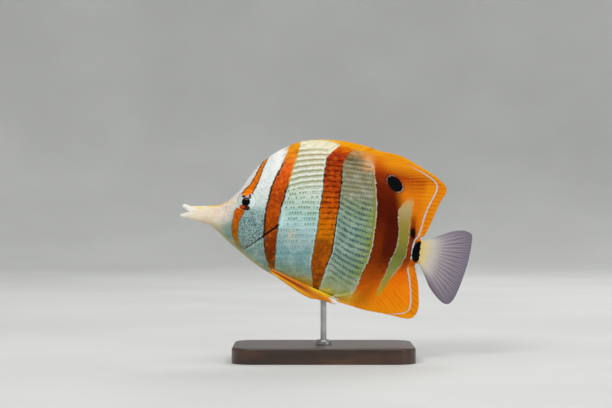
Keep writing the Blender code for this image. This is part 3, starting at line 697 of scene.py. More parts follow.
PALE_FRONT = [(-28, 104.9), (-25.8, 105.1), (-21.4, 105.9), (-13.7, 107.7), (-6.1, 109.2), (0.7, 111.0),
              (7, 110.9), (13.1, 109.6), (18, 109.0), (21, 109.6), (24.5, 111.8), (27.5, 114.6)]
PALE_REAR = [(-28, 105.9), (-26.5, 106.8), (-20.8, 109.0), (-14, 111.9), (-8.1, 115.2), (-2.6, 116.8),
             (3.8, 116.9), (12.2, 116.3), (19.5, 116.1), (27.5, 116.4)]
SPINY_MARGIN = [(44, 40.5), (48, 42.6), (52, 44.4), (56, 46.0), (62, 47.4), (68, 47.9), (74, 47.2),
                (80, 46.2), (88, 45.6), (96, 45.0), (104, 43.8)]
TOP_LINE = [(100, 45.2), (104, 44.4), (110.2, 42.9), (115, 41.5), (119.7, 39.7), (122.7, 38.4),
            (125.3, 36.9), (127, 35)]
DORSAL_LINE = [(-12, 119.9), (-8, 118.9), (-3, 119.6), (0.1, 119.4), (5.2, 119.8), (7.8, 121.3),
               (15.4, 122.6), (23, 124.0), (29.8, 126.2), (33, 126.9), (36, 126.1), (38.3, 123.4)]
ANAL_LINE = [(-31.6, 121.8), (-30.4, 122.9), (-27.8, 123.4), (-21.6, 122.6), (-14.5, 120.7), (-8, 118.9),
             (-4, 119.6)]
BOTTOM_LINE = [(110, -33.7), (113, -33.6), (116, -33.3), (119, -32.6), (121.5, -31.6), (123, -30.3)]
HIND_REAR = [(-32, 100.5), (-26, 103), (-20, 105.5), (-14, 109), (-6, 113), (10, 113.5), (18, 110.5),
             (26, 108), (34, 104), (40, 98)]
SNOUT_LINE_RUN = (13.0, 24.0)
# Ellipses: (middle, half sizes, tilt in degrees)
OCELLUS = ((105.1, 32.1), (4.6, 3.15), -38)
TAIL_SPOT = ((118.3, 8.7), (1.35, 2.7), 8)
TAIL_BAR = ((122.2, -0.1), (2.7, 5.4), -6)
BEIGE_PATCH = ((57.3, -3.2), (2.6, 3.8), 20)
JAW_STREAK = ((8.6, 3.0), (3.2, 0.55), -12)
NOSE_STREAK = ((26.1, 8.3), (1.2, 0.5), 10)
# Field before the hind stripe: where it starts, slopes of its dashes and bands, how much the dashes
# flatten towards the tail, above and lower down, and their spacing
FIELD_START, DASH_SLOPE, BAND_SLOPE = 76.0, 0.85, 0.12
DASH_FLATTEN, LOW_DASH_FLATTEN = 0.0125, 0.006
DASH_PITCH, BAND_PITCH = 3.2, 2.4


class Graph:
    """Builds shader nodes by short calls; a value is a number, a colour or another node's output."""

    def __init__(self, tree):
        self.tree = tree

    def put(self, socket, value):
        if isinstance(value, bpy.types.NodeSocket):
            self.tree.links.new(value, socket)
        else:
            socket.default_value = value

    def node(self, kind, *values, **settings):
        made = self.tree.nodes.new("ShaderNode" + kind)
        for name, value in settings.items():
            setattr(made, name, value)
        for socket, value in zip(made.inputs, values):
            if value is not None:
                self.put(socket, value)
        return made

    def math(self, operation, *values):
        return self.node("Math", *values, operation=operation).outputs[0]

    def chain(self, operation, first, others):
        for other in others:
            first = self.math(operation, first, other)
        return first

    def add(self, first, *others):
        return self.chain("ADD", first, others)

    def less(self, a, b):
        return self.math("SUBTRACT", a, b)

    def times(self, first, *others):
        return self.chain("MULTIPLY", first, others)

    def most(self, first, *others):
        return self.chain("MAXIMUM", first, others)

    def size(self, a):
        return self.math("ABSOLUTE", a)

    def smooth(self, low, high, value):
        """0 below low, 1 above high, smooth in between. With low above high it falls instead."""
        made = self.node("MapRange", value, low, high, 0.0, 1.0, interpolation_type="SMOOTHSTEP")
        return made.outputs[0]

    def map(self, value, low, high, first, last):
        """Runs straight from first at low to last at high."""
        return self.node("MapRange", value, low, high, first, last).outputs[0]

    def mix(self, factor, first, second, blend="MIX"):
        made = self.node("Mix", data_type="RGBA", blend_type=blend)
        for socket, value in zip((made.inputs["Factor"], made.inputs[6], made.inputs[7]),
                                 (factor, first, second)):
            self.put(socket, srgb(*value) if isinstance(value, tuple) else value)
        return made.outputs[2]

    def attribute(self, name):
        return self.node("Attribute", attribute_name=name).outputs["Vector"]

    def parts(self, vector):
        return self.node("SeparateXYZ", vector).outputs[:3]

    def vector(self, x, y, z):
        return self.node("CombineXYZ", x, y, z).outputs[0]

    def noise(self, vector, scale, detail=2.0, roughness=0.5):
        made = self.node("TexNoise")
        for name, value in (("Vector", vector), ("Scale", scale), ("Detail", detail),
                            ("Roughness", roughness)):
            self.put(made.inputs[name], value)
        return made.outputs["Fac"]

    def ramp(self, place, stops):
        """A colour that runs through the stops, (place, colour), as place grows."""
        made = self.node("ValToRGB", place)
        low, high = stops[0][0], stops[-1][0]
        self.put(made.inputs[0], self.map(place, low, high, 0.0, 1.0))
        elements = made.color_ramp.elements
        elements.remove(elements[1])
        for k, (position, colour) in enumerate(stops):
            share = (position - low) / (high - low)
            element = elements[0] if k == 0 else elements.new(share)
            element.position = share
            element.color = srgb(*colour)
        return made.outputs["Color"]

    def curve(self, place, points, reach, rise):
        """A smooth curve through the points; reach and rise bound its places and its values."""
        made = self.node("FloatCurve", None, self.map(place, *reach, 0.0, 1.0))
        curve = made.mapping.curves[0]
        spots = [((a - reach[0]) / (reach[1] - reach[0]), (b - rise[0]) / (rise[1] - rise[0]))
                 for a, b in points]
        while len(curve.points) < len(spots):
            curve.points.new(0.5, 0.5)
        for point, spot in zip(curve.points, spots):
            point.location = spot
            point.handle_type = "AUTO_CLAMPED"
        made.mapping.extend = "HORIZONTAL"
        made.mapping.update()
        return self.node("MapRange", made.outputs[0], 0.0, 1.0, *rise, clamp=False).outputs[0]

    def ellipse(self, u, w, centre, radii, tilt):
        """Distance from an ellipse's middle, 1 on its rim, and the way along its first radius."""
        shift_u, shift_w = self.less(u, centre[0]), self.less(w, centre[1])
        c, s = math.cos(math.radians(tilt)), math.sin(math.radians(tilt))
        first = self.times(self.add(self.times(shift_u, c), self.times(shift_w, s)), 1 / radii[0])
        second = self.times(self.less(self.times(shift_w, c), self.times(shift_u, s)), 1 / radii[1])
        away = self.node("VectorMath", self.vector(first, second, 0), operation="LENGTH")
        return away.outputs["Value"], first


class Markings:
    """The fish's colours as a node group, laid over each other at the fish's own coordinates.

    Inputs: Fish, the coordinates; Scale, (across, along, chance) on a scale; Fin, (phase, share of
    the way out, ray height) on a fin.
    """

    def __init__(self):
        self.tree = bpy.data.node_groups.new("markings", "ShaderNodeTree")
        for name in ("Fish", "Scale", "Fin"):
            self.tree.interface.new_socket(name, in_out="INPUT", socket_type="NodeSocketVector")
        self.tree.interface.new_socket("Color", in_out="OUTPUT", socket_type="NodeSocketColor")
        self.g = g = Graph(self.tree)
        inputs = self.tree.nodes.new("NodeGroupInput").outputs
        self.fish = inputs[0]
        self.x, _, self.z = g.parts(inputs[0])
        self.across, self.along, self.chance = g.parts(inputs[1])
        self.phase, self.share, self.ray = g.parts(inputs[2])
        self.level_x = g.add(g.times(self.x, math.cos(PITCH)), g.times(self.z, math.sin(PITCH)))
        self.level_z = g.less(g.times(self.z, math.cos(PITCH)), g.times(self.x, math.sin(PITCH)))
        wander = g.add(g.times(g.less(g.noise(self.fish, 0.35), 0.5), EDGE_WANDER),
                       g.times(g.less(g.noise(self.fish, 1.4, 1.0), 0.5), EDGE_WANDER))
        self.wavy_x = g.add(self.x, wander)
        self.over_belly = g.less(self.z, g.curve(self.x, BELLY_POINTS, MARK_LENGTHS, MARK_HEIGHTS))
        self.under_back = g.less(g.curve(self.x, BACK_POINTS, MARK_LENGTHS, MARK_HEIGHTS), self.z)
        self.ahead_hind = self.from_line(HIND_FRONT)
        self.calm_x = g.add(self.x, g.times(wander, 0.3))
        slit = [(float(belly(x) + level * (back(x) - belly(x))), x) for level, x in GILL_SLIT]
        self.slit_reach = self.window(slit[0][0] + 0.8, slit[-1][0] - 2.2, 0.6)
        self.behind_gill = self.from_line(slit, self.x)

        self.colour = None
        self.paint_ground()
        self.paint_rows()
        self.paint_snout()
        self.paint_eye_bar()
        self.paint_shoulder_stripe()
        self.paint_middle_stripe()
        self.paint_gill_line()
        self.paint_hind_part()
        self.paint_pale_band()
        self.paint_fins()
        self.paint_fin_lines()
        self.paint_eye_spot()
        self.paint_tail_root()
        self.tree.links.new(self.colour, self.tree.nodes.new("NodeGroupOutput").inputs[0])

    def lay(self, mask, colour, blend="MIX"):
        """Lays a colour over what is there so far."""
        self.colour = self.g.mix(mask, self.colour, colour, blend)

    def spot(self, ellipse, colour, ends, full, share=1.0):
        """Lays an ellipse of colour that is full within one distance and ends at another."""
        g = self.g
        away, _ = g.ellipse(self.x, self.z, *ellipse)
        self.lay(g.times(g.smooth(ends, full, away), share), colour)

    def between(self, value, low, high, soft):
        """1 where value lies between low and high."""
        g = self.g
        return g.times(g.smooth(low - soft, low + soft, value),
                       g.smooth(high + soft, high - soft, value))

    def window(self, low, high, soft=1.5):
        """1 where z lies between low and high."""
        return self.between(self.z, low, high, soft)

    def run(self, low, high, soft=1.5):
        """1 where x lies between low and high."""
        return self.between(self.x, low, high, soft)

    def from_line(self, points, x=None):
        """How far behind a line of (z, x) points."""
        g = self.g
        return g.less(x or self.wavy_x, g.curve(self.z, points, MARK_HEIGHTS, MARK_LENGTHS))

    def after(self, offset, soft=EDGE_SOFTNESS):
        return self.g.smooth(-soft, soft, offset)

    def before(self, offset, soft=EDGE_SOFTNESS):
        return self.g.smooth(soft, -soft, offset)

    def streak(self, offset, centre, half, soft=0.2):
        """1 where an offset is near centre."""
        g = self.g
        return g.smooth(half + soft, half, g.size(g.less(offset, centre)))

    def paint_ground(self):
        """Snout, head, flank and the field before the hind stripe, with soft mottling and painted shade
        under the snout.
        """
        g, z = self.g, self.z
        self.colour = g.ramp(self.x, [
            (0, (0.99, 0.98, 0.97)), (4, (0.98, 0.95, 0.90)), (9, (0.97, 0.91, 0.80)),
            (15, (0.95, 0.87, 0.77)), (22, (0.90, 0.83, 0.77)), (26, (0.88, 0.85, 0.81)),
            (30, (0.90, 0.89, 0.88))])
        grain = g.noise(g.vector(g.times(self.x, 0.25), 0, g.times(z, 1.1)), 1.0, 3.0)
        on_snout = g.smooth(2.0, 6.0, self.x)
        self.lay(g.times(g.smooth(0.48, 0.68, grain), on_snout, 0.35), (0.84, 0.71, 0.56))
        self.lay(g.times(g.smooth(0.48, 0.34, grain), on_snout, 0.3), (1.0, 0.97, 0.93))
        # Painted shade: the snout and the throat darken towards their underside.
        self.lay(g.times(g.smooth(0.5, -6.5, z), 0.9), g.ramp(self.x, [
            (6, (0.92, 0.85, 0.73)), (15, (0.84, 0.77, 0.63)), (22, (0.64, 0.64, 0.52)),
            (27, (0.48, 0.51, 0.39))]))
        head = g.ramp(z, [
            (-18, (0.44, 0.45, 0.34)), (-13, (0.34, 0.42, 0.36)), (-7, (0.50, 0.62, 0.60)),
            (0, (0.48, 0.62, 0.61)), (5, (0.62, 0.75, 0.74)), (10, (0.86, 0.91, 0.88)),
            (20, (0.96, 0.98, 0.96)), (38, (1.0, 1.0, 0.99))])
        self.lay(self.after(self.from_line(HEAD_START), 4.0), head)
        flank = g.ramp(z, [
            (-28, (0.86, 0.62, 0.04)), (-25, (0.74, 0.62, 0.12)), (-21.5, (0.50, 0.60, 0.48)),
            (-14, (0.49, 0.68, 0.69)), (-6, (0.60, 0.75, 0.74)), (2, (0.76, 0.91, 0.91)),
            (9, (0.71, 0.86, 0.83)), (17, (0.84, 0.92, 0.87)), (28, (0.97, 0.98, 0.91)),
            (43, (0.98, 0.95, 0.82))])
        self.lay(g.smooth(45.0, 50.0, self.wavy_x), flank)
        field = g.ramp(z, [
            (-31, (0.84, 0.68, 0.18)), (-28, (0.70, 0.70, 0.36)), (-24, (0.60, 0.66, 0.45)),
            (-18, (0.49, 0.61, 0.48)), (-8, (0.47, 0.61, 0.52)), (5, (0.47, 0.62, 0.53)),
            (14, (0.49, 0.60, 0.47)), (25, (0.54, 0.55, 0.41)), (34, (0.55, 0.52, 0.35)),
            (41, (0.42, 0.33, 0.10)), (45, (0.78, 0.54, 0.24)), (47, (0.96, 0.66, 0.24))])
        self.lay(g.smooth(72.0, 76.0, self.wavy_x), field)
        yellowish = g.times(g.smooth(-9.0, -1.5, self.ahead_hind), self.window(-22, 18, 5.0), 0.9)
        self.lay(g.times(yellowish, g.smooth(76.0, 80.0, self.x)), (0.50, 0.59, 0.16))
        belly_patch = g.times(self.window(-31.5, -27.0, 0.8), self.run(73.0, 82.0, 1.5), 0.8)
        self.lay(belly_patch, (0.93, 0.80, 0.08))
        breast = g.times(self.window(-23, -7), self.run(34, 47), 0.8)
        self.lay(g.times(g.smooth(0.0, 1.2, self.behind_gill), breast), (0.47, 0.61, 0.58))
        peach = g.times(self.window(36.0, 47.0, 2.5), self.run(87, 98, 2.5), 0.85)
        self.lay(peach, (0.97, 0.68, 0.38))
        self.spot(BEIGE_PATCH, (0.84, 0.83, 0.72), 1.3, 0.3, 0.75)

        mottle = g.noise(self.fish, 0.22, 3.0)
        self.lay(g.times(g.smooth(0.4, 0.75, mottle), 0.25), (0.96, 0.98, 0.96))
        speck = g.noise(self.fish, 1.9, 2.0)
        cheek = g.times(self.window(-13.0, 6.0, 4.0), self.run(31, 44))
        self.lay(g.times(g.smooth(0.49, 0.58, speck), cheek, 0.75), (0.19, 0.35, 0.37))
        self.lay(g.times(g.smooth(0.46, 0.38, speck), cheek, 0.6), (0.78, 0.89, 0.87))
        brow = g.times(self.window(8.0, 36.0, 4.0), self.run(30, 45, 3.0))
        self.lay(g.times(g.smooth(0.50, 0.62, speck), brow, 0.35), (0.60, 0.66, 0.66))

    def paint_rows(self):
        """Lines along the rows of scales, broken into dots lower down, dashes across the field, and a
        painted highlight between the rows on the upper flank.
        """
        g, z = self.g, self.z
        on_scale = g.smooth(0.0, 0.05, self.along)
        patchy = g.noise(self.fish, 0.45, 2.0)
        line = g.smooth(0.56, 0.08, g.size(self.across))
        second = g.times(g.smooth(0.14, 0.05, g.size(g.less(self.across, -0.52))), 0.6)
        dot = g.smooth(0.3, 0.08, g.size(g.less(self.along, 0.78)))
        low = g.smooth(16.0, 6.0, self.level_z)
        dot = g.times(dot, g.smooth(0.1, 0.55, self.chance))
        lines = g.most(g.times(line, g.less(1.0, g.times(low, g.less(1.0, dot)))), second)
        fade = g.times(g.smooth(47.0, 40.0, z), on_scale, g.map(z, -20.0, 10.0, 0.5, 1.0))
        rows = g.times(lines, fade, g.smooth(0.1, 0.42, patchy))
        bar_half = g.add(0.08, g.times(g.less(patchy, 0.5), 1.2))
        self.bars = g.times(g.smooth(g.add(bar_half, 0.24), bar_half, g.size(self.across)), on_scale,
                            g.map(z, -8.0, 15.0, 0.3, 1.0))
        colour = g.ramp(z, [
            (-28, (0.44, 0.38, 0.16)), (-18, (0.26, 0.40, 0.42)), (0, (0.30, 0.50, 0.50)),
            (8, (0.38, 0.52, 0.36)), (16, (0.48, 0.53, 0.26)), (30, (0.57, 0.56, 0.34)),
            (42, (0.66, 0.59, 0.34))])
        on_flank = g.times(g.smooth(44.0, 50.0, self.x), g.smooth(79.0, 75.0, self.x))
        # Painted highlight: a pale sheen between the scale rows on the upper flank, where light falls on
        # them.
        painted_row_highlight = g.times(g.smooth(0.5, 0.68, g.size(self.across)), g.smooth(4.0, 18.0, z), on_scale)
        self.lay(g.times(painted_row_highlight, on_flank, 0.35), (0.98, 0.99, 1.0))
        self.lay(g.times(rows, on_flank, 0.88), colour)
        self.paint_dashes(on_scale)
        rim = g.times(g.smooth(0.86, 1.0, self.along), on_scale, 0.28)
        self.lay(rim, (0.92, 0.95, 0.94))
        tint = g.add(0.92, g.times(self.chance, 0.12))
        self.lay(on_scale, g.mix(1.0, self.colour, g.vector(tint, tint, tint), "MULTIPLY"))

    def paint_dashes(self, on_scale):
        """The field before the hind stripe: soft bands above, dashes slanting down to the tail below."""
        g = self.g
        run = g.most(g.less(self.level_x, FIELD_START), 0.0)
        low_part = g.smooth(8.0, -14.0, self.level_z)
        flatten = g.add(DASH_FLATTEN, g.times(low_part, LOW_DASH_FLATTEN))
        slanted = g.add(self.level_z, g.times(run, g.less(DASH_SLOPE, g.times(run, flatten))))
        wave_place = g.vector(g.times(self.level_x, 0.16), 0, g.times(self.level_z, 0.3))
        bend = g.times(g.less(g.noise(wave_place, 1.0, 1.0), 0.5), 1.1)
        wave = g.math("SINE", g.times(g.add(slanted, bend), 2 * math.pi / DASH_PITCH))
        break_place = g.vector(g.times(self.level_x, 0.55), 0, g.times(slanted, 1.0))
        kept = g.smooth(0.32, 0.48, g.noise(break_place, 1.0, 1.0))
        area = g.times(g.smooth(77.0, 80.0, self.x), g.smooth(-0.8, -2.0, self.ahead_hind), on_scale)
        low_area = g.times(area, g.smooth(-27.0, -17.0, self.z), g.smooth(25.0, 18.0, self.z))
        colour = g.ramp(self.z, [
            (-24, (0.36, 0.40, 0.34)), (-12, (0.24, 0.31, 0.38)), (8, (0.24, 0.32, 0.40)),
            (18, (0.30, 0.34, 0.32)), (28, (0.40, 0.38, 0.28))])
        self.lay(g.times(g.smooth(0.1, 0.75, wave), kept, low_area, 0.8), colour)
        self.lay(g.times(g.smooth(-0.3, -0.9, wave), low_area, 0.3), (0.66, 0.78, 0.56))
        mesh = g.times(g.smooth(0.3, 0.1, g.size(self.across)), low_area, 0.2)
        self.lay(mesh, colour)
        high_area = g.times(area, g.smooth(17.0, 24.0, self.z), g.smooth(45.0, 38.0, self.z))
        sunk = g.add(self.level_z, g.times(run, BAND_SLOPE), bend)
        band = g.math("SINE", g.times(sunk, 2 * math.pi / BAND_PITCH))
        self.lay(g.times(g.smooth(-0.4, 0.9, band), high_area, 0.55), (0.42, 0.38, 0.26))
        self.lay(g.times(g.smooth(-0.4, -1.0, band), high_area, 0.3), (0.82, 0.78, 0.62))

    def paint_snout(self):
        """Yellow along the top of the snout and at the jaw, olive along the throat."""
        g = self.g
        throat = g.times(g.smooth(2.4, 0.8, self.over_belly), self.run(19, 48, 3.0), 0.85)
        self.lay(throat, (0.70, 0.68, 0.44))
        top = g.times(g.smooth(1.1, 0.6, self.under_back), self.run(*SNOUT_LINE_RUN, 1.0))
        self.lay(g.times(top, 0.95), (1.0, 0.80, 0.06))
        self.spot(JAW_STREAK, (0.97, 0.90, 0.42), 1.4, 0.5, 0.8)
        self.spot(NOSE_STREAK, (0.88, 0.80, 0.36), 1.5, 0.6, 0.6)

    def stripe(self, front, rear, colours, bands):
        """Lays one grainy stripe with the dark rows in it; gives the offsets from its two edges."""
        g = self.g
        ahead, behind = self.from_line(front), self.from_line(rear)
        grain, blotch = g.noise(self.fish, 2.0, 2.0), g.noise(self.fish, 0.5, 2.0)
        shade = g.ramp(self.z, colours)
        shade = g.mix(g.times(g.smooth(0.5, 0.7, blotch), 0.35), shade, (0.52, 0.14, 0.0))
        shade = g.mix(g.times(g.smooth(0.5, 0.36, blotch), 0.25), shade, (1.0, 0.55, 0.02))
        shade = g.mix(g.times(g.smooth(0.54, 0.66, grain), 0.45), shade, (0.36, 0.07, 0.0))
        shade = g.mix(g.times(self.bars, bands), shade, (0.32, 0.07, 0.0))
        self.lay(g.times(self.after(ahead), self.before(behind)), shade)
        return ahead, behind

    def dark_edge(self, offset, centre, half, low, high, strength=0.9):
        """A jagged brown-black edge of a stripe between two heights."""
        g = self.g
        ragged = g.add(half, g.times(g.less(g.noise(self.fish, 0.9, 2.0), 0.5), 1.3 * half))
        near = g.smooth(g.add(ragged, 0.22), ragged, g.size(g.less(offset, centre)))
        self.lay(g.times(near, self.window(low, high, 3.0), strength), (0.10, 0.06, 0.01))

    def paint_eye_bar(self):
        g = self.g
        below = self.colour
        ahead, behind = self.stripe(EYE_BAR_FRONT, EYE_BAR_REAR, [
            (-13, (0.56, 0.50, 0.18)), (-9, (0.64, 0.42, 0.03)), (-3, (0.74, 0.40, 0.01)),
            (3, (0.88, 0.40, 0.01)), (13, (1.0, 0.50, 0.0)), (28, (1.0, 0.50, 0.01)),
            (38, (0.98, 0.66, 0.20))], 0.3)
        for edge, low, high in ((ahead, 10, 36), (behind, 12, 34)):
            self.dark_edge(edge, 0.0, 0.16, low, high)
            self.dark_edge(edge, 0.0, 0.07, -9, 8, 0.6)
        before_eye = g.times(self.window(5.7, 12.6, 0.5), g.smooth(31.0, 30.0, self.x))
        kept = g.times(g.smooth(-15.5, -10.5, self.z), g.less(1.0, before_eye))
        self.colour = g.mix(kept, below, self.colour)

    def paint_shoulder_stripe(self):
        g = self.g
        ahead, behind = self.stripe(SHOULDER_FRONT, SHOULDER_REAR, [
            (-26, (0.66, 0.44, 0.06)), (-21, (0.50, 0.27, 0.02)), (-14, (0.46, 0.18, 0.01)),
            (-7, (0.58, 0.24, 0.01)), (0, (0.66, 0.27, 0.01)), (7, (0.78, 0.32, 0.01)),
            (14, (0.72, 0.27, 0.01)), (22, (0.90, 0.36, 0.01)), (30, (1.0, 0.42, 0.01)),
            (38, (1.0, 0.60, 0.02)), (46, (1.0, 0.72, 0.06))], 0.25)
        self.dark_edge(ahead, 0.1, 0.36, -14, 33)
        self.dark_edge(behind, -0.1, 0.34, 6, 22)
        self.dark_edge(behind, 0.0, 0.12, -20, 6, 0.6)
        fringe = g.times(self.streak(behind, 0.1, 0.25, 0.35), self.window(22, 42, 3))
        self.lay(g.times(fringe, 0.6), (0.86, 0.68, 0.10))

    def paint_middle_stripe(self):
        g = self.g
        pale = g.most(g.times(self.streak(self.from_line(MIDDLE_FRONT), -0.7, 0.1, 0.4),
                              self.window(-18, 38, 3)),
                      g.times(self.streak(self.from_line(MIDDLE_REAR), 0.6, 0.05, 0.35),
                              self.window(-24, 8, 5)))
        self.lay(g.times(pale, 0.5), (0.84, 0.94, 0.96))
        ahead, behind = self.stripe(MIDDLE_FRONT, MIDDLE_REAR, [
            (-30, (0.58, 0.34, 0.03)), (-22, (0.58, 0.29, 0.02)), (-14, (0.67, 0.32, 0.01)),
            (-4, (0.67, 0.35, 0.01)), (-1, (0.86, 0.49, 0.01)), (6, (0.87, 0.47, 0.01)),
            (15, (0.84, 0.36, 0.01)), (24, (0.76, 0.27, 0.01)), (32, (0.69, 0.22, 0.01)),
            (38, (0.69, 0.20, 0.01)), (43, (0.77, 0.25, 0.01)), (47, (1.0, 0.55, 0.03))], 0.75)
        olive = g.times(self.streak(ahead, 0.2, 0.25), self.window(-14, 22))
        self.lay(g.times(olive, 0.65), (0.60, 0.46, 0.02))
        self.dark_edge(ahead, 0.0, 0.14, 8, 38, 0.8)
        self.dark_edge(ahead, 0.0, 0.07, -24, 8, 0.5)
        self.dark_edge(behind, -0.05, 0.22, -16, 36)

    def paint_gill_line(self):
        """Dark slit of the gill opening, its dark painted as shade in the opening, with a pale edge below
        it.
        """
        g, offset, reach = self.g, self.behind_gill, self.slit_reach
        thick = g.smooth(-9.5, -5.0, self.z)
        pale = g.times(self.streak(offset, 2.0, 0.3, 0.9), reach, g.less(1.0, thick), 0.2)
        self.lay(pale, (0.82, 0.88, 0.84))
        # Painted shade: the dark line stands for the shade inside the gill opening, thicker lower down.
        half = g.add(0.25, g.times(thick, 0.45))
        slit = g.smooth(g.add(half, 0.35), half, g.size(g.less(offset, 0.15)))
        self.lay(g.times(slit, reach, g.add(0.7, g.times(thick, 0.28))), (0.15, 0.05, 0.03))

    def paint_hind_part(self):
        """Everything behind the hind stripe's front edge: orange, darkest in the stripe's core."""
        g, z, ahead = self.g, self.z, self.ahead_hind
        colour = g.ramp(z, [
            (-36, (0.96, 0.56, 0.04)), (-30, (0.86, 0.50, 0.03)), (-24, (0.84, 0.40, 0.01)),
            (-16, (0.68, 0.29, 0.01)), (-8, (0.50, 0.18, 0.0)), (4, (0.48, 0.16, 0.0)),
            (14, (0.36, 0.08, 0.0)), (22, (0.36, 0.08, 0.0)), (30, (0.46, 0.13, 0.0)),
            (36, (0.62, 0.20, 0.0)), (41, (0.88, 0.42, 0.02)), (50, (1.0, 0.68, 0.08))])
        core = g.times(g.smooth(3.0, 7.0, ahead), self.window(-8, 17, 5))
        colour = g.mix(g.times(core, 0.85), colour, (0.30, 0.07, 0.0))
        blotch = g.noise(self.fish, 0.8, 3.0)
        colour = g.mix(g.times(g.smooth(0.5, 0.7, blotch), self.window(-16, 34, 4), 0.4), colour,
                       (0.24, 0.04, 0.0))
        rear = g.ramp(z, [
            (-34, (1.0, 0.58, 0.02)), (-20, (1.0, 0.52, 0.0)), (-12, (0.95, 0.44, 0.0)),
            (-4, (0.66, 0.30, 0.02)), (5, (0.60, 0.24, 0.01)), (12, (0.82, 0.40, 0.02)),
            (18, (0.93, 0.50, 0.02)), (28, (0.92, 0.50, 0.04)), (36, (0.70, 0.26, 0.01)),
            (42, (0.97, 0.60, 0.05))])
        colour = g.mix(g.smooth(-3.0, 4.0, self.from_line(HIND_REAR)), colour, rear)
        edge_fade = g.times(g.smooth(119.0, 123.5, self.wavy_x), self.window(4, 36, 4))
        colour = g.mix(edge_fade, colour, (0.96, 0.57, 0.03))
        soft = g.add(EDGE_SOFTNESS, g.times(g.smooth(37.0, 43.0, z), 2.6))
        yellow = g.times(self.streak(ahead, -1.2, 0.3, 0.7), self.window(-6, 34, 5), 0.7)
        self.lay(yellow, (0.58, 0.52, 0.05))
        self.lay(g.smooth(g.times(soft, -1.0), soft, ahead), colour)
        wide = g.times(g.noise(self.fish, 0.5, 1.0), 0.16)
        white = g.smooth(g.add(wide, 0.2), wide, g.size(g.add(ahead, 0.3)))
        self.lay(g.times(white, self.window(-27, 36, 2.5), 0.75), (0.80, 0.83, 0.80))
        self.dark_edge(ahead, 0.2, 0.1, -22, 32, 0.5)

    def paint_pale_band(self):
        g = self.g
        front, rear = self.from_line(PALE_FRONT), self.from_line(PALE_REAR)
        colour = g.ramp(self.z, [
            (-27, (0.90, 0.66, 0.12)), (-20, (0.70, 0.62, 0.20)), (-12, (0.55, 0.57, 0.30)),
            (-4, (0.46, 0.48, 0.20)), (4, (0.56, 0.53, 0.20)), (12, (0.63, 0.55, 0.25)),
            (20, (0.74, 0.65, 0.44)), (26, (0.88, 0.66, 0.36))])
        band = g.times(self.after(front), self.before(rear, 0.35), self.window(-26.0, 25.5, 2.5))
        self.lay(band, colour)
        edges = g.most(g.times(self.streak(front, 0.2, 0.08), self.window(-22, 19, 2)),
                       g.times(self.streak(rear, -0.3, 0.08), self.window(-16, 13, 2)))
        self.lay(g.times(edges, 0.65), (0.76, 0.76, 0.72))
        dark = g.times(self.streak(rear, 1.5, 0.8, 1.0), self.window(-10, 17, 4), 0.8)
        self.lay(dark, (0.50, 0.17, 0.0))

    def paint_fins(self):
        """Yellow along the spines, streaks along the rays and yellow margins."""
        g = self.g
        spiny = g.ramp(self.x, [
            (46, (1.0, 0.70, 0.06)), (54, (0.99, 0.78, 0.16)), (58, (0.97, 0.88, 0.42)),
            (66, (0.97, 0.85, 0.30)), (73, (1.0, 0.70, 0.04)), (92, (1.0, 0.66, 0.03))])
        margin = g.curve(self.x, SPINY_MARGIN, MARK_LENGTHS, MARK_HEIGHTS)
        self.lay(g.times(g.smooth(-0.6, 0.6, g.less(self.z, margin)), g.smooth(104, 92, self.x), 0.95),
                 spiny)
        under_belly = g.times(g.smooth(1.0, -2.0, self.over_belly), g.smooth(83, 86, self.x))
        self.lay(g.times(under_belly, g.smooth(5.0, -2.0, self.ahead_hind), 0.85), (0.94, 0.72, 0.20))
        streaks = g.noise(g.vector(g.times(self.phase, 2.6), g.times(self.share, 1.3), 0), 1.0, 2.0)
        out = g.times(g.smooth(0.12, 0.4, self.share), g.smooth(74.0, 80.0, self.x))
        self.lay(g.times(g.smooth(0.42, 0.7, streaks), out, 0.4), (0.88, 0.36, 0.0))
        self.lay(g.times(self.ray, out, 0.3), (1.0, 0.70, 0.04))
        self.lay(g.times(g.smooth(0.90, 0.99, self.share), 0.7), (1.0, 0.68, 0.04))

    def paint_fin_lines(self):
        """Pale lines inside the fins' margins, and the yellow-orange outside them."""
        g = self.g
        dorsal, anal = self.from_line(DORSAL_LINE, self.calm_x), self.from_line(ANAL_LINE, self.calm_x)
        outside = g.most(g.times(self.after(dorsal), self.window(6, 37.5, 1.0)),
                         g.times(self.after(anal), self.window(-32, -8, 1.0)))
        self.lay(g.times(outside, 0.6), (0.98, 0.57, 0.02))
        from_top = g.less(self.z, g.curve(self.x, TOP_LINE, MARK_LENGTHS, MARK_HEIGHTS))
        top = g.times(self.streak(from_top, 0.0, 0.15, 0.3), g.smooth(108, 123, self.x),
                      g.smooth(127.5, 126.0, self.x), g.smooth(33, 36, self.z))
        from_bottom = g.less(self.z, g.curve(self.x, BOTTOM_LINE, MARK_LENGTHS, MARK_HEIGHTS))
        bottom = g.times(self.streak(from_bottom, 0.0, 0.12, 0.3), g.smooth(112, 119, self.x),
                         g.smooth(123.4, 122.4, self.x), g.smooth(-28, -30, self.z))
        lines = g.most(g.times(self.streak(dorsal, 0.0, 0.28), self.window(-4.6, 37.0, 0.6)),
                       g.times(self.streak(anal, 0.0, 0.27), self.window(-30.5, -8.6, 0.4)), top, bottom)
        fringe = g.times(outside, g.less(1.0, self.ray), g.smooth(0.5, 0.7, self.share), 0.45)
        self.lay(fringe, (0.74, 0.30, 0.0))
        self.lay(g.times(lines, 0.95), (0.76, 0.82, 0.86))

    def paint_eye_spot(self):
        """A tilted black ellipse, edged in pale blue where it is longest."""
        g = self.g
        away, long_way = g.ellipse(self.x, self.z, *OCELLUS)
        self.lay(g.times(self.streak(away, 1.2, 0.06, 0.12), 0.4), (0.34, 0.12, 0.01))
        ring = g.times(self.streak(away, 1.08, 0.03, 0.05), g.smooth(0.5, 0.95, g.size(long_way)))
        self.lay(g.times(ring, 0.75), (0.50, 0.58, 0.58))
        self.lay(g.smooth(1.04, 0.98, away), (0.015, 0.02, 0.025))

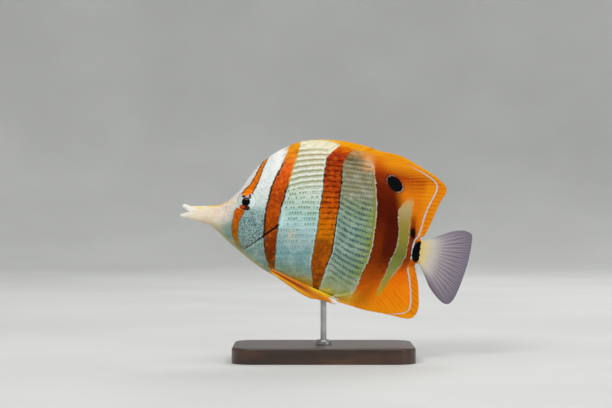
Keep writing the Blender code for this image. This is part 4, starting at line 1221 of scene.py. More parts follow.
    def paint_tail_root(self):
        """Black spot over a black bar edged with white, then the yellow root of the tail fin."""
        g = self.g
        self.spot(TAIL_SPOT, (0.05, 0.015, 0.01), 1.45, 0.7)
        root = g.times(g.smooth(122.6, 123.8, self.x), self.window(-7.5, 7.0, 1.0))
        self.lay(root, (0.98, 0.86, 0.42))
        self.spot(TAIL_BAR, (0.012, 0.012, 0.015), 1.06, 0.96)


def painted(name, values):
    """A new material, its graph and its shader, whose sockets hold the values."""
    material = bpy.data.materials.new(name)
    material.use_nodes = True
    shader = material.node_tree.nodes["Principled BSDF"]
    for label, value in values.items():
        shader.inputs[label].default_value = value
    return material, Graph(material.node_tree), shader


def fish_material(name, markings, roughness, bump):
    """A material painted by the markings. bump(g) gives (height, strength, depth in mm)."""
    material, g, shader = painted(name, {"Roughness": roughness, "Specular IOR Level": 0.07})
    group = g.tree.nodes.new("ShaderNodeGroup")
    group.node_tree = markings
    for socket, label in zip(group.inputs, ("fish", "scale", "fin")):
        g.put(socket, g.attribute(label))
    g.put(shader.inputs["Base Color"], group.outputs[0])
    add_bump(g, shader, *bump(g))
    return material


def add_bump(g, shader, height, strength, depth):
    """Bumps the surface by a height; depth is in millimetres."""
    made = g.node("Bump")
    for name, value in (("Height", height), ("Strength", strength), ("Distance", depth * MM)):
        g.put(made.inputs[name], value)
    g.put(shader.inputs["Normal"], made.outputs["Normal"])


def skin_bump(g):
    """Fine close grain, as small scales give under a clear film."""
    fish = g.attribute("fish")
    cells = g.node("TexVoronoi", feature="F1")
    g.put(cells.inputs["Vector"], fish)
    g.put(cells.inputs["Scale"], 1.6)
    return g.add(g.times(cells.outputs["Distance"], -0.8), g.noise(fish, 4.0, 3.0)), 0.35, 0.12


def scale_bump(g):
    return g.noise(g.attribute("fish"), 5.0, 2.0), 0.2, 0.06


def ray_bump(g):
    """Short joints across the rays and fine creases along the membrane."""
    phase, share, ray = g.parts(g.attribute("fin"))
    joints = g.math("SINE", g.times(share, 190.0))
    creases = g.noise(g.vector(g.times(phase, 9.0), g.times(share, 3.0), 0), 1.0, 2.0)
    return g.add(g.times(g.times(joints, ray), 0.35), creases), 0.4, 0.12


# Scales: rows are level low on the body and arch over its upper part, steeper ahead of the middle
ROW_RANGE, RUN_RANGE = (-62.0, 42.0), (14.0, 136.0)
ROW_JITTER, RUN_JITTER = 0.04, 0.07
ROW_ARCH, ROW_ARCH_BEHIND, ARCH_MIDDLE = 0.0155, 0.009, 76.0
ROW_ARCH_LOW, ARCH_HIGH = 1.0, 15.0
ROW_SPREAD_START, ROW_SPREAD, ROW_SPREAD_LEVEL = 60.0, 0.0021, -5.0
SCALE_ACROSS = np.array([-1.0, -0.72, -0.36, 0.0, 0.36, 0.72, 1.0])
SCALE_ALONG = np.array([0.0, 0.5, 0.82, 1.0])
SCALE_THICKNESS = 0.09
SCALE_SINK, SCALE_LIFT, SCALE_CROWN = 0.14, 0.19, 0.07
SCALE_TURN = 0.06
SURFACE_STEP, CAST_FROM = 0.4, 60.0
OUTLINE_INSET = 0.3
SURFACE_X, SURFACE_Z = (-1.0, 151.0), (-37.0, 52.0)
MARK_FOLLOW = 0.8
SEED = 11
# Each kind of scale: pitch and step of its rows, then half width and length of a full-size scale
BODY_ROWS, BODY_FORM = (2.85, 1.3), (2.0, 2.6)
HEAD_ROWS, HEAD_FORM = (1.1, 0.95), (0.78, 1.4)
FIN_ROWS, FIN_FORM = (1.25, 1.1), (0.86, 1.6)
BARE_NOSE, BARE_NOSE_RADIUS = (27.2, 12.0), 1.5
# Unrolled skin: the size of a scale's patch, and the ranges of x and girth that the sheet takes
PATCH, GIRTH_STEPS = 0.0015, 48
SHEET_X, SHEET_GIRTH = (-5, 155), (-12, 104)
SHEET_MARGIN, SHEET_WIDTH, SHEET_HEIGHT, SHEET_OTHER_SIDE = 0.02, 0.96, 0.45, 0.5


class Surface:
    """How far the skin and fins stand out from the fish's middle plane, on one side."""

    def __init__(self, shapes, side):
        trees = [BVHTree.FromPolygons([tuple(p) for p in points], faces) for points, faces in shapes]
        self.xs = np.arange(*SURFACE_X, SURFACE_STEP)
        self.zs = np.arange(*SURFACE_Z, SURFACE_STEP)
        self.side = side
        out = np.full((len(self.xs), len(self.zs)), np.nan)
        start, aim = CAST_FROM * side, Vector((0, -side, 0))
        for i, x in enumerate(self.xs):
            for j, z in enumerate(self.zs):
                for tree in trees:
                    hit = tree.ray_cast(Vector((x, start, z)), aim)[0]
                    if hit is not None:
                        out[i, j] = np.fmax(out[i, j], side * hit.y)
        known = ~np.isnan(out)
        rows = np.where(known, self.zs, np.nan)
        reached = known.any(axis=1)
        self.low, self.high = np.zeros(len(self.xs)), np.zeros(len(self.xs))
        self.low[reached] = np.nanmin(rows[reached], axis=1) + OUTLINE_INSET
        self.high[reached] = np.nanmax(rows[reached], axis=1) - OUTLINE_INSET
        self.known, self.out = known.astype(float), np.where(known, out, 0.0)
        self.slope_x, self.slope_z = np.gradient(self.out, SURFACE_STEP)

    def within(self, x, z):
        """z kept a little inside the outline."""
        column = np.clip(np.round((x - self.xs[0]) / SURFACE_STEP).astype(int), 0, len(self.xs) - 1)
        return np.clip(z, self.low[column], self.high[column])

    def sample(self, table, x, z):
        """A table's values at x and z, straight between its places."""
        fx = np.clip((x - self.xs[0]) / SURFACE_STEP, 0, len(self.xs) - 1.001)
        fz = np.clip((z - self.zs[0]) / SURFACE_STEP, 0, len(self.zs) - 1.001)
        i, j = fx.astype(int), fz.astype(int)
        u, v = fx - i, fz - j
        return ((1 - u) * (1 - v) * table[i, j] + u * (1 - v) * table[i + 1, j]
                + (1 - u) * v * table[i, j + 1] + u * v * table[i + 1, j + 1])

    def lifted(self, x, z, lift):
        """Points lift out of the surface, square to it."""
        slope_x, slope_z = self.sample(self.slope_x, x, z), self.sample(self.slope_z, x, z)
        length = np.sqrt(1 + slope_x ** 2 + slope_z ** 2)
        out = self.sample(self.out, x, z)
        return np.stack([x - slope_x / length * lift, self.side * (out + lift / length),
                         z - slope_z / length * lift], axis=-1)


def fish_shape(obj):
    """A piece's points in fish millimetres, and its faces."""
    points = np.zeros(len(obj.data.vertices) * 3, np.float32)
    obj.data.attributes["fish"].data.foreach_get("vector", points)
    return points.reshape(-1, 3), [tuple(face.vertices) for face in obj.data.polygons]


def row_point(row, run):
    """Fish x and z at a row's height and a run along it, both in the level frame."""
    arch = ROW_ARCH * smoothstep(ROW_ARCH_LOW, ARCH_HIGH, row)
    spread = 1 - ROW_SPREAD * np.maximum(run - ROW_SPREAD_START, 0)
    height = ROW_SPREAD_LEVEL + (row - ROW_SPREAD_LEVEL) * spread
    arch = arch * np.where(run < ARCH_MIDDLE, 1.0, ROW_ARCH_BEHIND / ROW_ARCH)
    height = height - arch / 2 * (run - ARCH_MIDDLE) ** 2
    return (run * math.cos(PITCH) - height * math.sin(PITCH),
            run * math.sin(PITCH) + height * math.cos(PITCH))


def row_grid(pitch, step, draw):
    """Roots of scales set alternately in rows: (x, z, direction of the row)."""
    rows = np.arange(*ROW_RANGE, pitch)
    runs = np.arange(*RUN_RANGE, step)
    row, run = np.meshgrid(rows, runs, indexing="ij")
    run = run + 0.5 * step * (np.arange(len(rows)) % 2)[:, None]
    run = run + draw.uniform(-RUN_JITTER, RUN_JITTER, run.shape) * step
    row = row + draw.uniform(-ROW_JITTER, ROW_JITTER, run.shape) * pitch
    x, z = row_point(row.ravel(), run.ravel())
    x_next, z_next = row_point(row.ravel(), run.ravel() + 0.1)
    return x, z, np.arctan2(z_next - z, x_next - x)


def build_coat(name, surface, x, z, heading, half, length, material, draw):
    """Thin solid scales over the surface: roots sunk, rear edges free and rounded."""
    count = len(x)
    across, along = np.meshgrid(SCALE_ACROSS, SCALE_ALONG, indexing="ij")
    across, along = across.ravel(), along.ravel()
    heading = heading + draw.uniform(-SCALE_TURN, SCALE_TURN, count)
    chance = draw.uniform(0, 1, count)
    size = draw.uniform(0.94, 1.06, count)
    forward = along * (1 - 0.42 * abs(across) ** 2.2 * along)
    sideways = across * (0.8 + 0.2 * np.sin(math.pi * (0.25 + 0.6 * along)))
    go = (length * size)[:, None] * forward
    over = (half * size)[:, None] * sideways
    c, s = np.cos(heading)[:, None], np.sin(heading)[:, None]
    px = x[:, None] + go * c - over * s
    pz = surface.within(px, z[:, None] + go * s + over * c)
    scale_share = np.minimum(half / 1.25, 1)[:, None]
    top = -SCALE_SINK + (SCALE_SINK + SCALE_LIFT) * along ** 0.8 + SCALE_CROWN * (1 - across ** 2)
    top = top * scale_share
    upper = surface.lifted(px, pz, top)
    lower = surface.lifted(px, pz, top - SCALE_THICKNESS * (0.5 + 0.5 * scale_share))
    points = np.concatenate([upper, lower], axis=1).reshape(-1, 3)

    wide, deep = len(SCALE_ACROSS), len(SCALE_ALONG)
    grid = np.arange(wide * deep).reshape(wide, deep)
    cells = [grid[:-1, :-1], grid[1:, :-1], grid[1:, 1:], grid[:-1, 1:]]
    quads = np.stack(cells, axis=-1).reshape(-1, 4)
    rim = np.concatenate([grid[:, 0], grid[-1, 1:], grid[-2::-1, -1], grid[0, -2:0:-1]])
    after_rim = np.roll(rim, -1)
    under = wide * deep
    walls = np.stack([rim, after_rim, after_rim + under, rim + under], axis=-1)
    one = np.concatenate([quads[:, ::-1], quads + under, walls])
    if surface.side < 0:
        one = one[:, ::-1]
    faces = (one[None] + (np.arange(count) * 2 * under)[:, None, None]).reshape(-1, 4)

    root = np.repeat(np.stack([x, np.zeros(count), z], axis=-1), 2 * under, axis=0)
    mark = root + MARK_FOLLOW * (points - root)
    mark[:, 1] = points[:, 1]
    mesh = bpy.data.meshes.new(name)
    mesh.from_pydata(place(points), [], faces)
    mesh.materials.append(material)
    note(mesh, "fish", mark)
    note(mesh, "scale", np.stack([np.tile(across, 2 * count), np.tile(along, 2 * count),
                                  np.repeat(chance, 2 * under)], axis=-1))
    patch_u, patch_v = unwrap(x, z, surface.side)
    u = np.repeat(patch_u, 2 * under) + PATCH * np.tile(across, 2 * count)
    v = np.repeat(patch_v, 2 * under) + PATCH * np.tile(2 * along - 1, 2 * count)
    corners = faces.ravel()
    layer = mesh.uv_layers.new(name="OFBake")
    layer.data.foreach_set("uv", np.stack([u[corners], v[corners]], axis=-1).astype(np.float32).ravel())
    mesh.shade_smooth()
    mesh.set_sharp_from_angle(angle=math.radians(50))
    obj = linked(name, mesh)
    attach(obj, "root")


def girth(x, z):
    """Length over the skin from the belly's middle line up to z, going on along the fins."""
    low, high = belly(x), back(x)
    reach = np.clip((z - low) / (high - low), 0, 1)
    before = np.stack([flesh_half(x, np.zeros_like(x)), low])
    total = before[0]
    for k in range(1, GIRTH_STEPS + 1):
        level = reach * k / GIRTH_STEPS
        now = np.stack([flesh_half(x, level), low + level * (high - low)])
        total = total + np.hypot(*(now - before))
        before = now
    return total + np.maximum(z - high, 0) - np.maximum(low - z, 0)


def unwrap(x, z, side):
    """Place of a scale's root on the unrolled skin: the left side below, the right side above."""
    start, end = SHEET_X
    u = SHEET_MARGIN + SHEET_WIDTH * (x - start) / (end - start)
    start, end = SHEET_GIRTH
    v = SHEET_MARGIN + SHEET_HEIGHT * (girth(x, z) - start) / (end - start)
    return u, v + (SHEET_OTHER_SIDE if side > 0 else 0.0)


def build_scales(surface, word, material, draw):
    """Body, head and fin-root scales of one side."""
    def near_eye(x, z):
        return np.hypot(x - EYE_X, z - EYE_Z)

    def coat(part, roots, keep, form, size):
        x, z, heading = (values[keep] for values in roots)
        half, length = (value * size[keep] for value in form)
        build_coat(f"scales_{part}_{word}", surface, x, z, heading, half, length, material, draw)

    x, z, heading = row_grid(*BODY_ROWS, draw)
    level = level_at(x, z)
    keep = (x > gill_line(np.clip(level, 0, 1)) + 0.5) & (x < 114)
    keep &= (level > 0.02) & (z < back(x) + 0.6)
    middle = (z - belly(x)) * (back(x) - z) / (back(x) - belly(x)) ** 2 * 4
    size = 0.78 + 0.22 * smoothstep(0.05, 0.5, middle)
    coat("body", (x, z, heading), keep, BODY_FORM, size)

    x, z, heading = row_grid(*HEAD_ROWS, draw)
    level = level_at(x, z)
    keep = (x > 21.5) & (x < gill_line(np.clip(level, 0, 1)) - 0.9) & (level > 0.02) & (level < 0.985)
    keep &= near_eye(x, z) > EYE_RADIUS + 0.75
    keep &= np.hypot(x - BARE_NOSE[0], z - BARE_NOSE[1]) > BARE_NOSE_RADIUS
    keep &= (x + 1.6 < EYE_X) | (near_eye(x + 1.6, z) > EYE_RADIUS + 0.4)
    keep &= (x > EYE_X) | (near_eye(x + 1.6, z) > EYE_RADIUS + 0.5)
    size = 0.55 + 0.45 * smoothstep(21, 33, x)
    coat("head", (x, z, heading), keep, HEAD_FORM, size)

    x, z, heading = row_grid(*FIN_ROWS, draw)
    over, under = z - back(x), belly(x) - z
    root_x = np.clip(x, 50, 121)
    dorsal_reach = np.where(x < 92, 0.62 * (49 - back(root_x)), 17.0)
    thin_out = draw.uniform(0.75, 1.0, len(x))
    on_dorsal = (over > -0.3) & (over < dorsal_reach * thin_out) & (x > 50) & (x < 123)
    line_x = profile([(z_at, x_at) for z_at, x_at in DORSAL_LINE if z_at > 0])(np.clip(z, 0.2, 38))
    on_dorsal &= (x < line_x - 1.2 - 3 * (1 - thin_out)) & (z < 41.5)
    on_anal = (under > -0.3) & (under < 12 * thin_out) & (x > 87) & (x < 117)
    on_anal &= (x < 113 + 0.25 * (z + 33)) & (z > -31)
    on_root = (x > 112) & (x < 122.4) & (over < 0.2) & (under < 0.2)
    keep = (on_dorsal | on_anal | on_root) & (surface.sample(surface.known, x, z) > 0.99)
    size = 1 - 0.35 * np.clip(np.maximum(over, under) / 14, 0, 1)
    coat("fins", (x, z, heading), keep, FIN_FORM, size)


# See-through fins: colours from root to edge, and how their rays and membranes look
TAIL_FIN_COLOURS = [(0.0, (0.97, 0.82, 0.42)), (0.1, (0.93, 0.86, 0.65)), (0.25, (0.87, 0.83, 0.79)),
                    (0.45, (0.65, 0.61, 0.65)), (0.75, (0.49, 0.45, 0.53)), (1.0, (0.43, 0.39, 0.50))]
TAIL_FIN_LOOK = {"streak": 0.35, "streak_colour": (0.40, 0.35, 0.40), "ray_share": 0.5,
                 "ray_colour": (0.86, 0.81, 0.77), "membrane": (0.97, 0.72), "ray_opacity": 0.95}
PECTORAL_COLOURS = [(0.0, (0.74, 0.80, 0.74)), (0.3, (0.74, 0.84, 0.84)), (1.0, (0.76, 0.86, 0.88))]
PECTORAL_LOOK = {"streak": 0.1, "streak_colour": (0.55, 0.65, 0.66), "ray_share": 0.7,
                 "ray_colour": (0.90, 0.95, 0.94), "membrane": (0.04, 0.02), "ray_opacity": 0.2}

# Eye: a coated dome set in the socket; u runs tailwards and w upwards from its middle
EYE_RIM, EYE_RIM_SINK, EYE_DOME = 4.77, 0.5, 1.2
EYE_RINGS, EYE_SPOKES = 26, 72
EYE_BACK = 2.4
PUPIL_U, PUPIL_W, PUPIL_RADIUS, PUPIL_BULGE = -0.05, -0.52, 2.0, 0.16
PATCH_SOFTNESS = 0.14
# Patches of the iris: middle, half sizes, tilt in degrees, colour, strength
EYE_PATCHES = [
    ((-0.8, 3.9), (2.4, 1.35), 8, (0.98, 0.52, 0.03), 1.0),
    ((-0.1, 1.9), (1.5, 1.0), 0, (0.58, 0.36, 0.26), 0.85),
    ((-1.75, 1.0), (0.75, 0.5), 40, (0.80, 0.55, 0.20), 0.6),
    ((-1.75, 2.05), (1.15, 0.62), -8, (0.03, 0.03, 0.07), 0.98),
    ((1.4, 2.6), (0.75, 1.3), 8, (0.14, 0.16, 0.34), 0.9),
    ((1.45, 1.9), (0.7, 0.55), 0, (0.03, 0.03, 0.08), 0.95),
    ((-0.1, -3.8), (2.8, 1.9), -4, (0.07, 0.015, 0.01), 0.98),
    ((0.6, -3.6), (1.4, 0.8), 0, (0.34, 0.06, 0.01), 0.75),
    ((-1.35, -3.3), (1.25, 0.7), -8, (0.82, 0.26, 0.02), 0.95),
]


def build_eye(word, side, material):
    """One eye, square to the skin round it, its pupil bulging a little as a fish's lens does."""
    step = 0.5
    slope_x = (half_at(EYE_X + step, EYE_Z) - half_at(EYE_X - step, EYE_Z)) / (2 * step)
    slope_z = (half_at(EYE_X, EYE_Z + step) - half_at(EYE_X, EYE_Z - step)) / (2 * step)
    normal = np.array([-slope_x, 1.0, -slope_z])
    normal /= np.linalg.norm(normal)
    along = np.array([1.0, slope_x, 0.0])
    along /= np.linalg.norm(along)
    up = np.cross(along, normal)
    middle = np.array([EYE_X, float(half_at(EYE_X, EYE_Z)) - COAT_DEPTH, EYE_Z])

    shell, notes = Shell(), []

    def spot(u, w, out):
        point = middle + along * u + up * w + normal * out
        notes.append((u, out, w))
        return shell.add(point * (1, side, 1))

    def dome(u, w):
        share = min(1.0, math.hypot(u, w) / (EYE_RIM + 0.06))
        from_pupil = math.hypot(u - PUPIL_U, w - PUPIL_W) / PUPIL_RADIUS
        bulge = PUPIL_BULGE * float(smoothstep(1.08, 0.8, from_pupil))
        return -EYE_RIM_SINK + EYE_DOME * math.sqrt(1 - share ** 2) + bulge

    def ring(radius, out=None):
        spots = []
        for k in range(EYE_SPOKES):
            angle = 2 * math.pi * k / EYE_SPOKES
            u, w = radius * math.cos(angle), radius * math.sin(angle)
            spots.append(spot(u, w, dome(u, w) if out is None else out))
        return spots

    first = ring(EYE_RIM / EYE_RINGS)
    shell.fan(first, spot(0, 0, dome(0, 0)))
    before = first
    for k in range(2, EYE_RINGS + 1):
        now = ring(EYE_RIM * k / EYE_RINGS)
        shell.bridge(before, now, closed=True)
        before = now
    for k in range(1, 6):
        angle = math.pi / 2 * k / 6
        now = ring(EYE_RIM * math.cos(angle), -EYE_RIM_SINK - EYE_BACK * math.sin(angle))
        shell.bridge(before, now, closed=True)
        before = now
    shell.fan(before, spot(0, 0, -EYE_RIM_SINK - EYE_BACK))
    obj = make_piece(f"eye_{word}_ball", shell.points, shell.faces, [material])
    note(obj.data, "eye", notes)
    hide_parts(f"eye_{word}")


def eye_material():
    """Silver iris crossed by the orange bar above and below the black pupil, under a clear coat."""
    material, g, shader = painted("eye", {"Roughness": 0.4, "Specular IOR Level": 0.0, "Coat Weight": 0.5,
                                          "Coat IOR": 1.33, "Coat Roughness": 0.04})
    u, _, w = g.parts(g.attribute("eye"))
    spot = g.vector(u, 0, w)
    noise = g.noise(spot, 1.6, 3.0)
    fine = g.noise(spot, 5.0, 2.0)
    ragged = g.times(g.less(g.noise(spot, 0.9, 2.0), 0.5), 0.5)
    iris = g.ramp(u, [(-4.6, (0.88, 0.87, 0.85)), (-2.8, (0.76, 0.81, 0.79)), (0.0, (0.76, 0.83, 0.82)),
                      (2.2, (0.84, 0.91, 0.92)), (4.6, (0.97, 0.99, 0.99))])
    iris = g.mix(g.times(g.smooth(0.5, 0.7, noise), 0.35), iris, (0.52, 0.58, 0.54))
    iris = g.mix(g.times(g.smooth(0.45, 0.6, fine), 0.15), iris, (1.0, 1.0, 1.0))
    for centre, radii, tilt, colour, share in EYE_PATCHES:
        away, _ = g.ellipse(u, w, centre, radii, tilt)
        mask = g.smooth(1.0 + PATCH_SOFTNESS, 1.0 - PATCH_SOFTNESS, g.add(away, ragged))
        iris = g.mix(g.times(mask, share), iris, colour)
    from_middle, _ = g.ellipse(u, w, (0, 0), (EYE_RIM, EYE_RIM), 0)
    from_pupil, _ = g.ellipse(u, w, (PUPIL_U, PUPIL_W), (PUPIL_RADIUS, PUPIL_RADIUS), 0)
    # Painted shade: the eye's rim darkens where the socket shades it, most on its front side.
    socket_shade_side = g.smooth(1.0, -2.5, u)
    rim = g.times(g.smooth(0.9, 0.99, from_middle), g.add(0.1, g.times(socket_shade_side, 0.2)))
    iris = g.mix(rim, iris, (0.20, 0.18, 0.12))
    ring = g.times(g.smooth(1.2, 1.04, from_pupil), 0.85)
    iris = g.mix(ring, iris, (0.22, 0.15, 0.08))
    pupil = g.smooth(1.04, 0.95, from_pupil)
    iris = g.mix(pupil, iris, (0.004, 0.004, 0.006))
    g.put(shader.inputs["Base Color"], iris)
    g.put(shader.inputs["Metallic"], g.times(g.less(1.0, pupil), 0.12))
    add_bump(g, shader, g.times(noise, g.less(1.0, pupil)), 0.25, 0.1)
    return material


def mottled_material(name, dark, light, scale, roughness):
    """Two close colours in soft patches, with a fine grain."""
    material, g, shader = painted(name, {"Roughness": roughness})
    spot = g.node("TexCoord").outputs["Object"]
    patches = g.smooth(0.3, 0.7, g.noise(spot, scale, 3.0))
    g.put(shader.inputs["Base Color"], g.mix(patches, dark, light))
    add_bump(g, shader, g.noise(spot, 30 * scale, 2.0), 0.1, 0.1)
    return material


def clear_fin_material(name, colours, settings):
    """A see-through fin: colours runs from root to edge, rays stand out denser and paler.

    settings: streak and streak_colour, ray_share and ray_colour, ray_opacity, and membrane, its
    opacity at root and edge.
    """
    material, g, shader = painted(name, {"Roughness": 0.35, "Specular IOR Level": 0.3})
    phase, share, ray = g.parts(g.attribute("fin"))
    streaks = g.noise(g.vector(g.times(phase, 5.0), g.times(share, 2.0), 0), 1.0, 3.0)
    colour = g.ramp(share, colours)
    colour = g.mix(g.times(g.smooth(0.4, 0.75, streaks), settings["streak"]), colour,
                   settings["streak_colour"])
    ray_share = g.times(g.map(share, 0.3, 1.0, 1.0, 0.3), settings["ray_share"])
    colour = g.mix(g.times(ray, ray_share), colour, settings["ray_colour"])
    g.put(shader.inputs["Base Color"], colour)
    near, far = settings["membrane"]
    film = g.node("MapRange", share, 0.05, 1.0, near, far).outputs[0]
    film = g.add(film, g.times(g.less(streaks, 0.5), 0.25))
    rays = g.times(ray, g.less(settings["ray_opacity"], film))
    g.put(shader.inputs["Alpha"], g.math("MINIMUM", g.add(film, g.most(rays, 0.0)), 1.0))
    add_bump(g, shader, *ray_bump(g))
    return material


def pelvic_material():
    """Orange with yellow edges, a dark streak of painted shade along its middle, a painted highlight
    along its upper rear edge, and a white tip.
    """
    material, g, shader = painted("pelvic_fin", {"Roughness": 0.4, "Specular IOR Level": 0.3})
    phase, share, ray = g.parts(g.attribute("fin"))
    x = g.parts(g.attribute("fish"))[0]
    streaks = g.noise(g.vector(g.times(phase, 3.0), g.times(share, 2.5), 0), 1.0, 3.0)
    # Painted shade: the dark band round phase 2.9 stands for the shade between the two pelvic fins.
    colour = g.ramp(phase, [(0, (1.0, 0.80, 0.03)), (1.5, (1.0, 0.72, 0.02)), (2.2, (0.84, 0.40, 0.01)),
                            (2.9, (0.46, 0.14, 0.0)), (3.6, (0.62, 0.25, 0.0)), (4.4, (0.92, 0.52, 0.02)),
                            (5.4, (0.94, 0.58, 0.03)), (6, (1.0, 0.74, 0.06))])
    colour = g.mix(g.times(g.smooth(0.45, 0.7, streaks), 0.3), colour, (0.66, 0.26, 0.01))
    colour = g.mix(g.times(ray, 0.15), colour, (1.0, 0.70, 0.10))
    colour = g.mix(g.times(g.smooth(66.0, 76.0, x), 0.7), colour, (0.98, 0.60, 0.02))
    lit_edge = g.times(g.smooth(4.3, 4.6, phase), g.smooth(70.0, 73.0, x))
    colour = g.mix(g.times(lit_edge, 0.9), colour, (1.0, 0.90, 0.10))
    colour = g.mix(g.times(g.smooth(82.0, 85.0, x), 0.9), colour, (0.97, 0.95, 0.92))
    g.put(shader.inputs["Base Color"], colour)
    add_bump(g, shader, *ray_bump(g))
    return material


def wood_material():
    """Dark walnut: long grain along x, pores, and a satin varnish."""
    material, g, shader = painted("walnut", {"Coat Weight": 0.25, "Coat Roughness": 0.18})
    place_now = g.node("TexCoord").outputs["Object"]
    x, y, z = g.parts(place_now)
    warp = g.noise(place_now, 14.0, 2.0)
    waved_y = g.add(g.times(y, 130.0), g.times(warp, 5.0))
    grain_place = g.vector(g.times(x, 9.0), waved_y, g.times(z, 130.0))
    grain = g.noise(grain_place, 1.0, 4.0, 0.62)
    rings = g.math("SINE", g.add(g.times(y, 420.0), g.add(g.times(warp, 22.0), g.times(z, 160.0))))
    colour = g.mix(g.smooth(0.3, 0.72, grain), (0.16, 0.095, 0.06), (0.36, 0.225, 0.14))
    colour = g.mix(g.times(g.smooth(-0.2, 1.0, rings), 0.35), colour, (0.11, 0.06, 0.04))
    pores = g.noise(g.vector(g.times(x, 160.0), g.times(y, 1500.0), g.times(z, 1500.0)), 1.0, 1.0)
    pore = g.smooth(0.62, 0.74, pores)
    colour = g.mix(g.times(pore, 0.6), colour, (0.07, 0.04, 0.03))
    g.put(shader.inputs["Base Color"], colour)
    g.put(shader.inputs["Roughness"], g.add(0.3, g.times(grain, 0.2)))
    add_bump(g, shader, g.less(g.times(grain, 0.5), pore), 0.35, 0.12)
    return material


def steel_material():
    """Brushed steel: fine scratches round the rod and a little tarnish."""
    material, g, shader = painted("brushed_steel", {"Metallic": 1.0})
    place_now = g.node("TexCoord").outputs["Object"]
    x, y, z = g.parts(place_now)
    scratches = g.noise(g.vector(g.times(x, 120.0), g.times(y, 120.0), g.times(z, 4500.0)), 1.0, 3.0)
    cloud = g.noise(place_now, 160.0, 2.0)
    colour = g.mix(g.smooth(0.35, 0.75, cloud), (0.74, 0.74, 0.75), (0.62, 0.61, 0.60))
    g.put(shader.inputs["Base Color"], colour)
    g.put(shader.inputs["Roughness"], g.add(0.2, g.times(scratches, 0.25)))
    add_bump(g, shader, scratches, 0.25, 0.03)
    return material


def dress_stand():
    steel = steel_material()
    for name, paint in (("stand_base", wood_material()), ("stand_rod", steel), ("stand_collar", steel)):
        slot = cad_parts[name].material_slots[0]
        slot.link = "OBJECT"
        slot.material = paint


# Studio: a pale round bowl, soft lights, and the camera level with the fish on its left side
CAMERA_AIM = (63.75, 3.06)
CAMERA_DISTANCE = 867.0
LENS, SENSOR = 100.0, 36.0
BOWL_RADIUS, BOWL_HEIGHT, BOWL_BEND = 1.9, 1.7, 0.7


def build_bowl():
    """The floor, curving up into an even backdrop all round."""
    profile_line = [(0.0, 0.0), (0.4, 0.0), (0.8, 0.0), (BOWL_RADIUS - BOWL_BEND, 0.0)]
    for k in range(1, 17):
        angle = math.pi / 2 * k / 16
        profile_line.append((BOWL_RADIUS - BOWL_BEND + BOWL_BEND * math.sin(angle),
                             BOWL_BEND * (1 - math.cos(angle))))
    profile_line.append((BOWL_RADIUS, BOWL_HEIGHT))
    bowl = bmesh.new()
    line = [bowl.verts.new((r, 0, z)) for r, z in profile_line]
    edges = [bowl.edges.new(pair) for pair in zip(line, line[1:])]
    bmesh.ops.spin(bowl, geom=line + edges, cent=(0, 0, 0), axis=(0, 0, 1), angle=2 * math.pi,
                   steps=96, use_merge=True)
    bmesh.ops.remove_doubles(bowl, verts=bowl.verts, dist=1e-6)
    bmesh.ops.recalc_face_normals(bowl, faces=bowl.faces)
    mesh = bpy.data.meshes.new("studio_floor")
    bowl.to_mesh(mesh)
    bowl.free()
    mesh.shade_smooth()
    paint = mottled_material("studio_floor", (0.85, 0.85, 0.84), (0.88, 0.88, 0.87), 6.0, 0.75)
    mesh.materials.append(paint)
    obj = linked("studio_floor", mesh)


def add_light(name, place_at, aim, size, power, colour=(1, 1, 1)):
    lamp = bpy.data.lights.new(name, "AREA")
    lamp.shape = "DISK"
    lamp.size, lamp.energy, lamp.color = size, power, colour
    obj = linked(name, lamp)
    obj.location = place_at
    obj.rotation_euler = (Vector(aim) - Vector(place_at)).to_track_quat("-Z", "Y").to_euler()


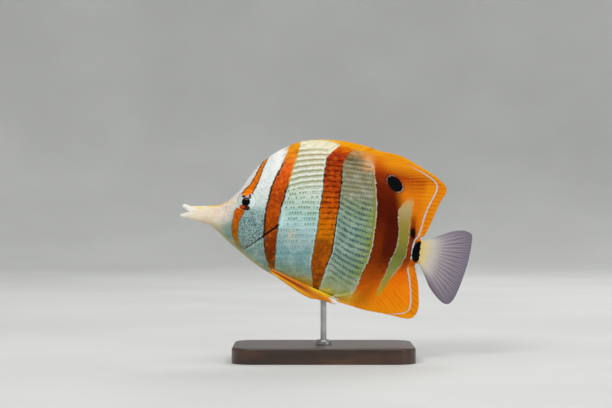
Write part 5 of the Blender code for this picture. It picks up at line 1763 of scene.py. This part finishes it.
def build_studio():
    build_bowl()
    middle = (0.0, 0.0, 0.075)
    add_light("key", (-0.55, -0.95, 0.95), middle, 0.5, 7.0, (1.0, 0.98, 0.95))
    add_light("fill", (0.85, -0.75, 0.35), middle, 0.7, 2.0, (0.94, 0.97, 1.0))
    add_light("back", (0.35, 0.95, 0.9), middle, 0.6, 4.5)
    add_light("top", (0.0, 0.0, 1.5), middle, 1.2, 6.5)
    world = bpy.data.worlds.new("studio")
    world.use_nodes = True
    world.node_tree.nodes["Background"].inputs["Color"].default_value = (0.8, 0.85, 0.9, 1)
    world.node_tree.nodes["Background"].inputs["Strength"].default_value = 0.35
    bpy.context.scene.world = world
    bpy.context.scene.view_settings.view_transform = "Standard"


def build_camera():
    camera = bpy.data.cameras.new("camera")
    camera.lens, camera.sensor_width = LENS, SENSOR
    camera.clip_start, camera.clip_end = 0.05, 10.0
    obj = linked("camera", camera)
    aim = pose_origin + Vector((CAMERA_AIM[0], 0, CAMERA_AIM[1])) * MM
    obj.location = aim - Vector((0, CAMERA_DISTANCE, 0)) * MM
    obj.rotation_euler = (math.pi / 2, 0, 0)
    bpy.context.scene.camera = obj


def main():
    markings = Markings().tree
    skin_paint = fish_material("skin", markings, 0.42, bump=skin_bump)
    scale_paint = fish_material("scales", markings, 0.36, bump=scale_bump)
    fin_paint = fish_material("fin", markings, 0.4, bump=ray_bump)
    mouth = mottled_material("mouth", (0.30, 0.13, 0.10), (0.52, 0.30, 0.25), 900.0, 0.45)
    shell = build_skin()
    skin = make_piece("skin", shell.points, shell.faces, [skin_paint, mouth],
                      face_material=shell.kinds)
    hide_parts("jaw_upper", "jaw_lower", "snout", "head", "gill_cover_left",
                "gill_cover_right", "torso", "tail")
    spiny, soft = build_dorsal([fin_paint])
    anal = build_anal([fin_paint])
    shapes = [(shell.points, shell.faces)] + [fish_shape(obj) for obj in (spiny, soft, anal)]
    draw = np.random.default_rng(SEED)
    for word, side in SIDES:
        build_scales(Surface(shapes, side), word, scale_paint, draw)
    build_caudal([clear_fin_material("tail_fin", TAIL_FIN_COLOURS, TAIL_FIN_LOOK)])
    pectoral_paint = clear_fin_material("pectoral_fin", PECTORAL_COLOURS, PECTORAL_LOOK)
    pelvic_paint, eye_paint = pelvic_material(), eye_material()
    for word, side in SIDES:
        build_pectoral(word, side, [pectoral_paint])
        build_pelvic(word, side, [pelvic_paint])
        build_eye(word, side, eye_paint)
    dress_stand()
    build_studio()
    build_camera()


main()
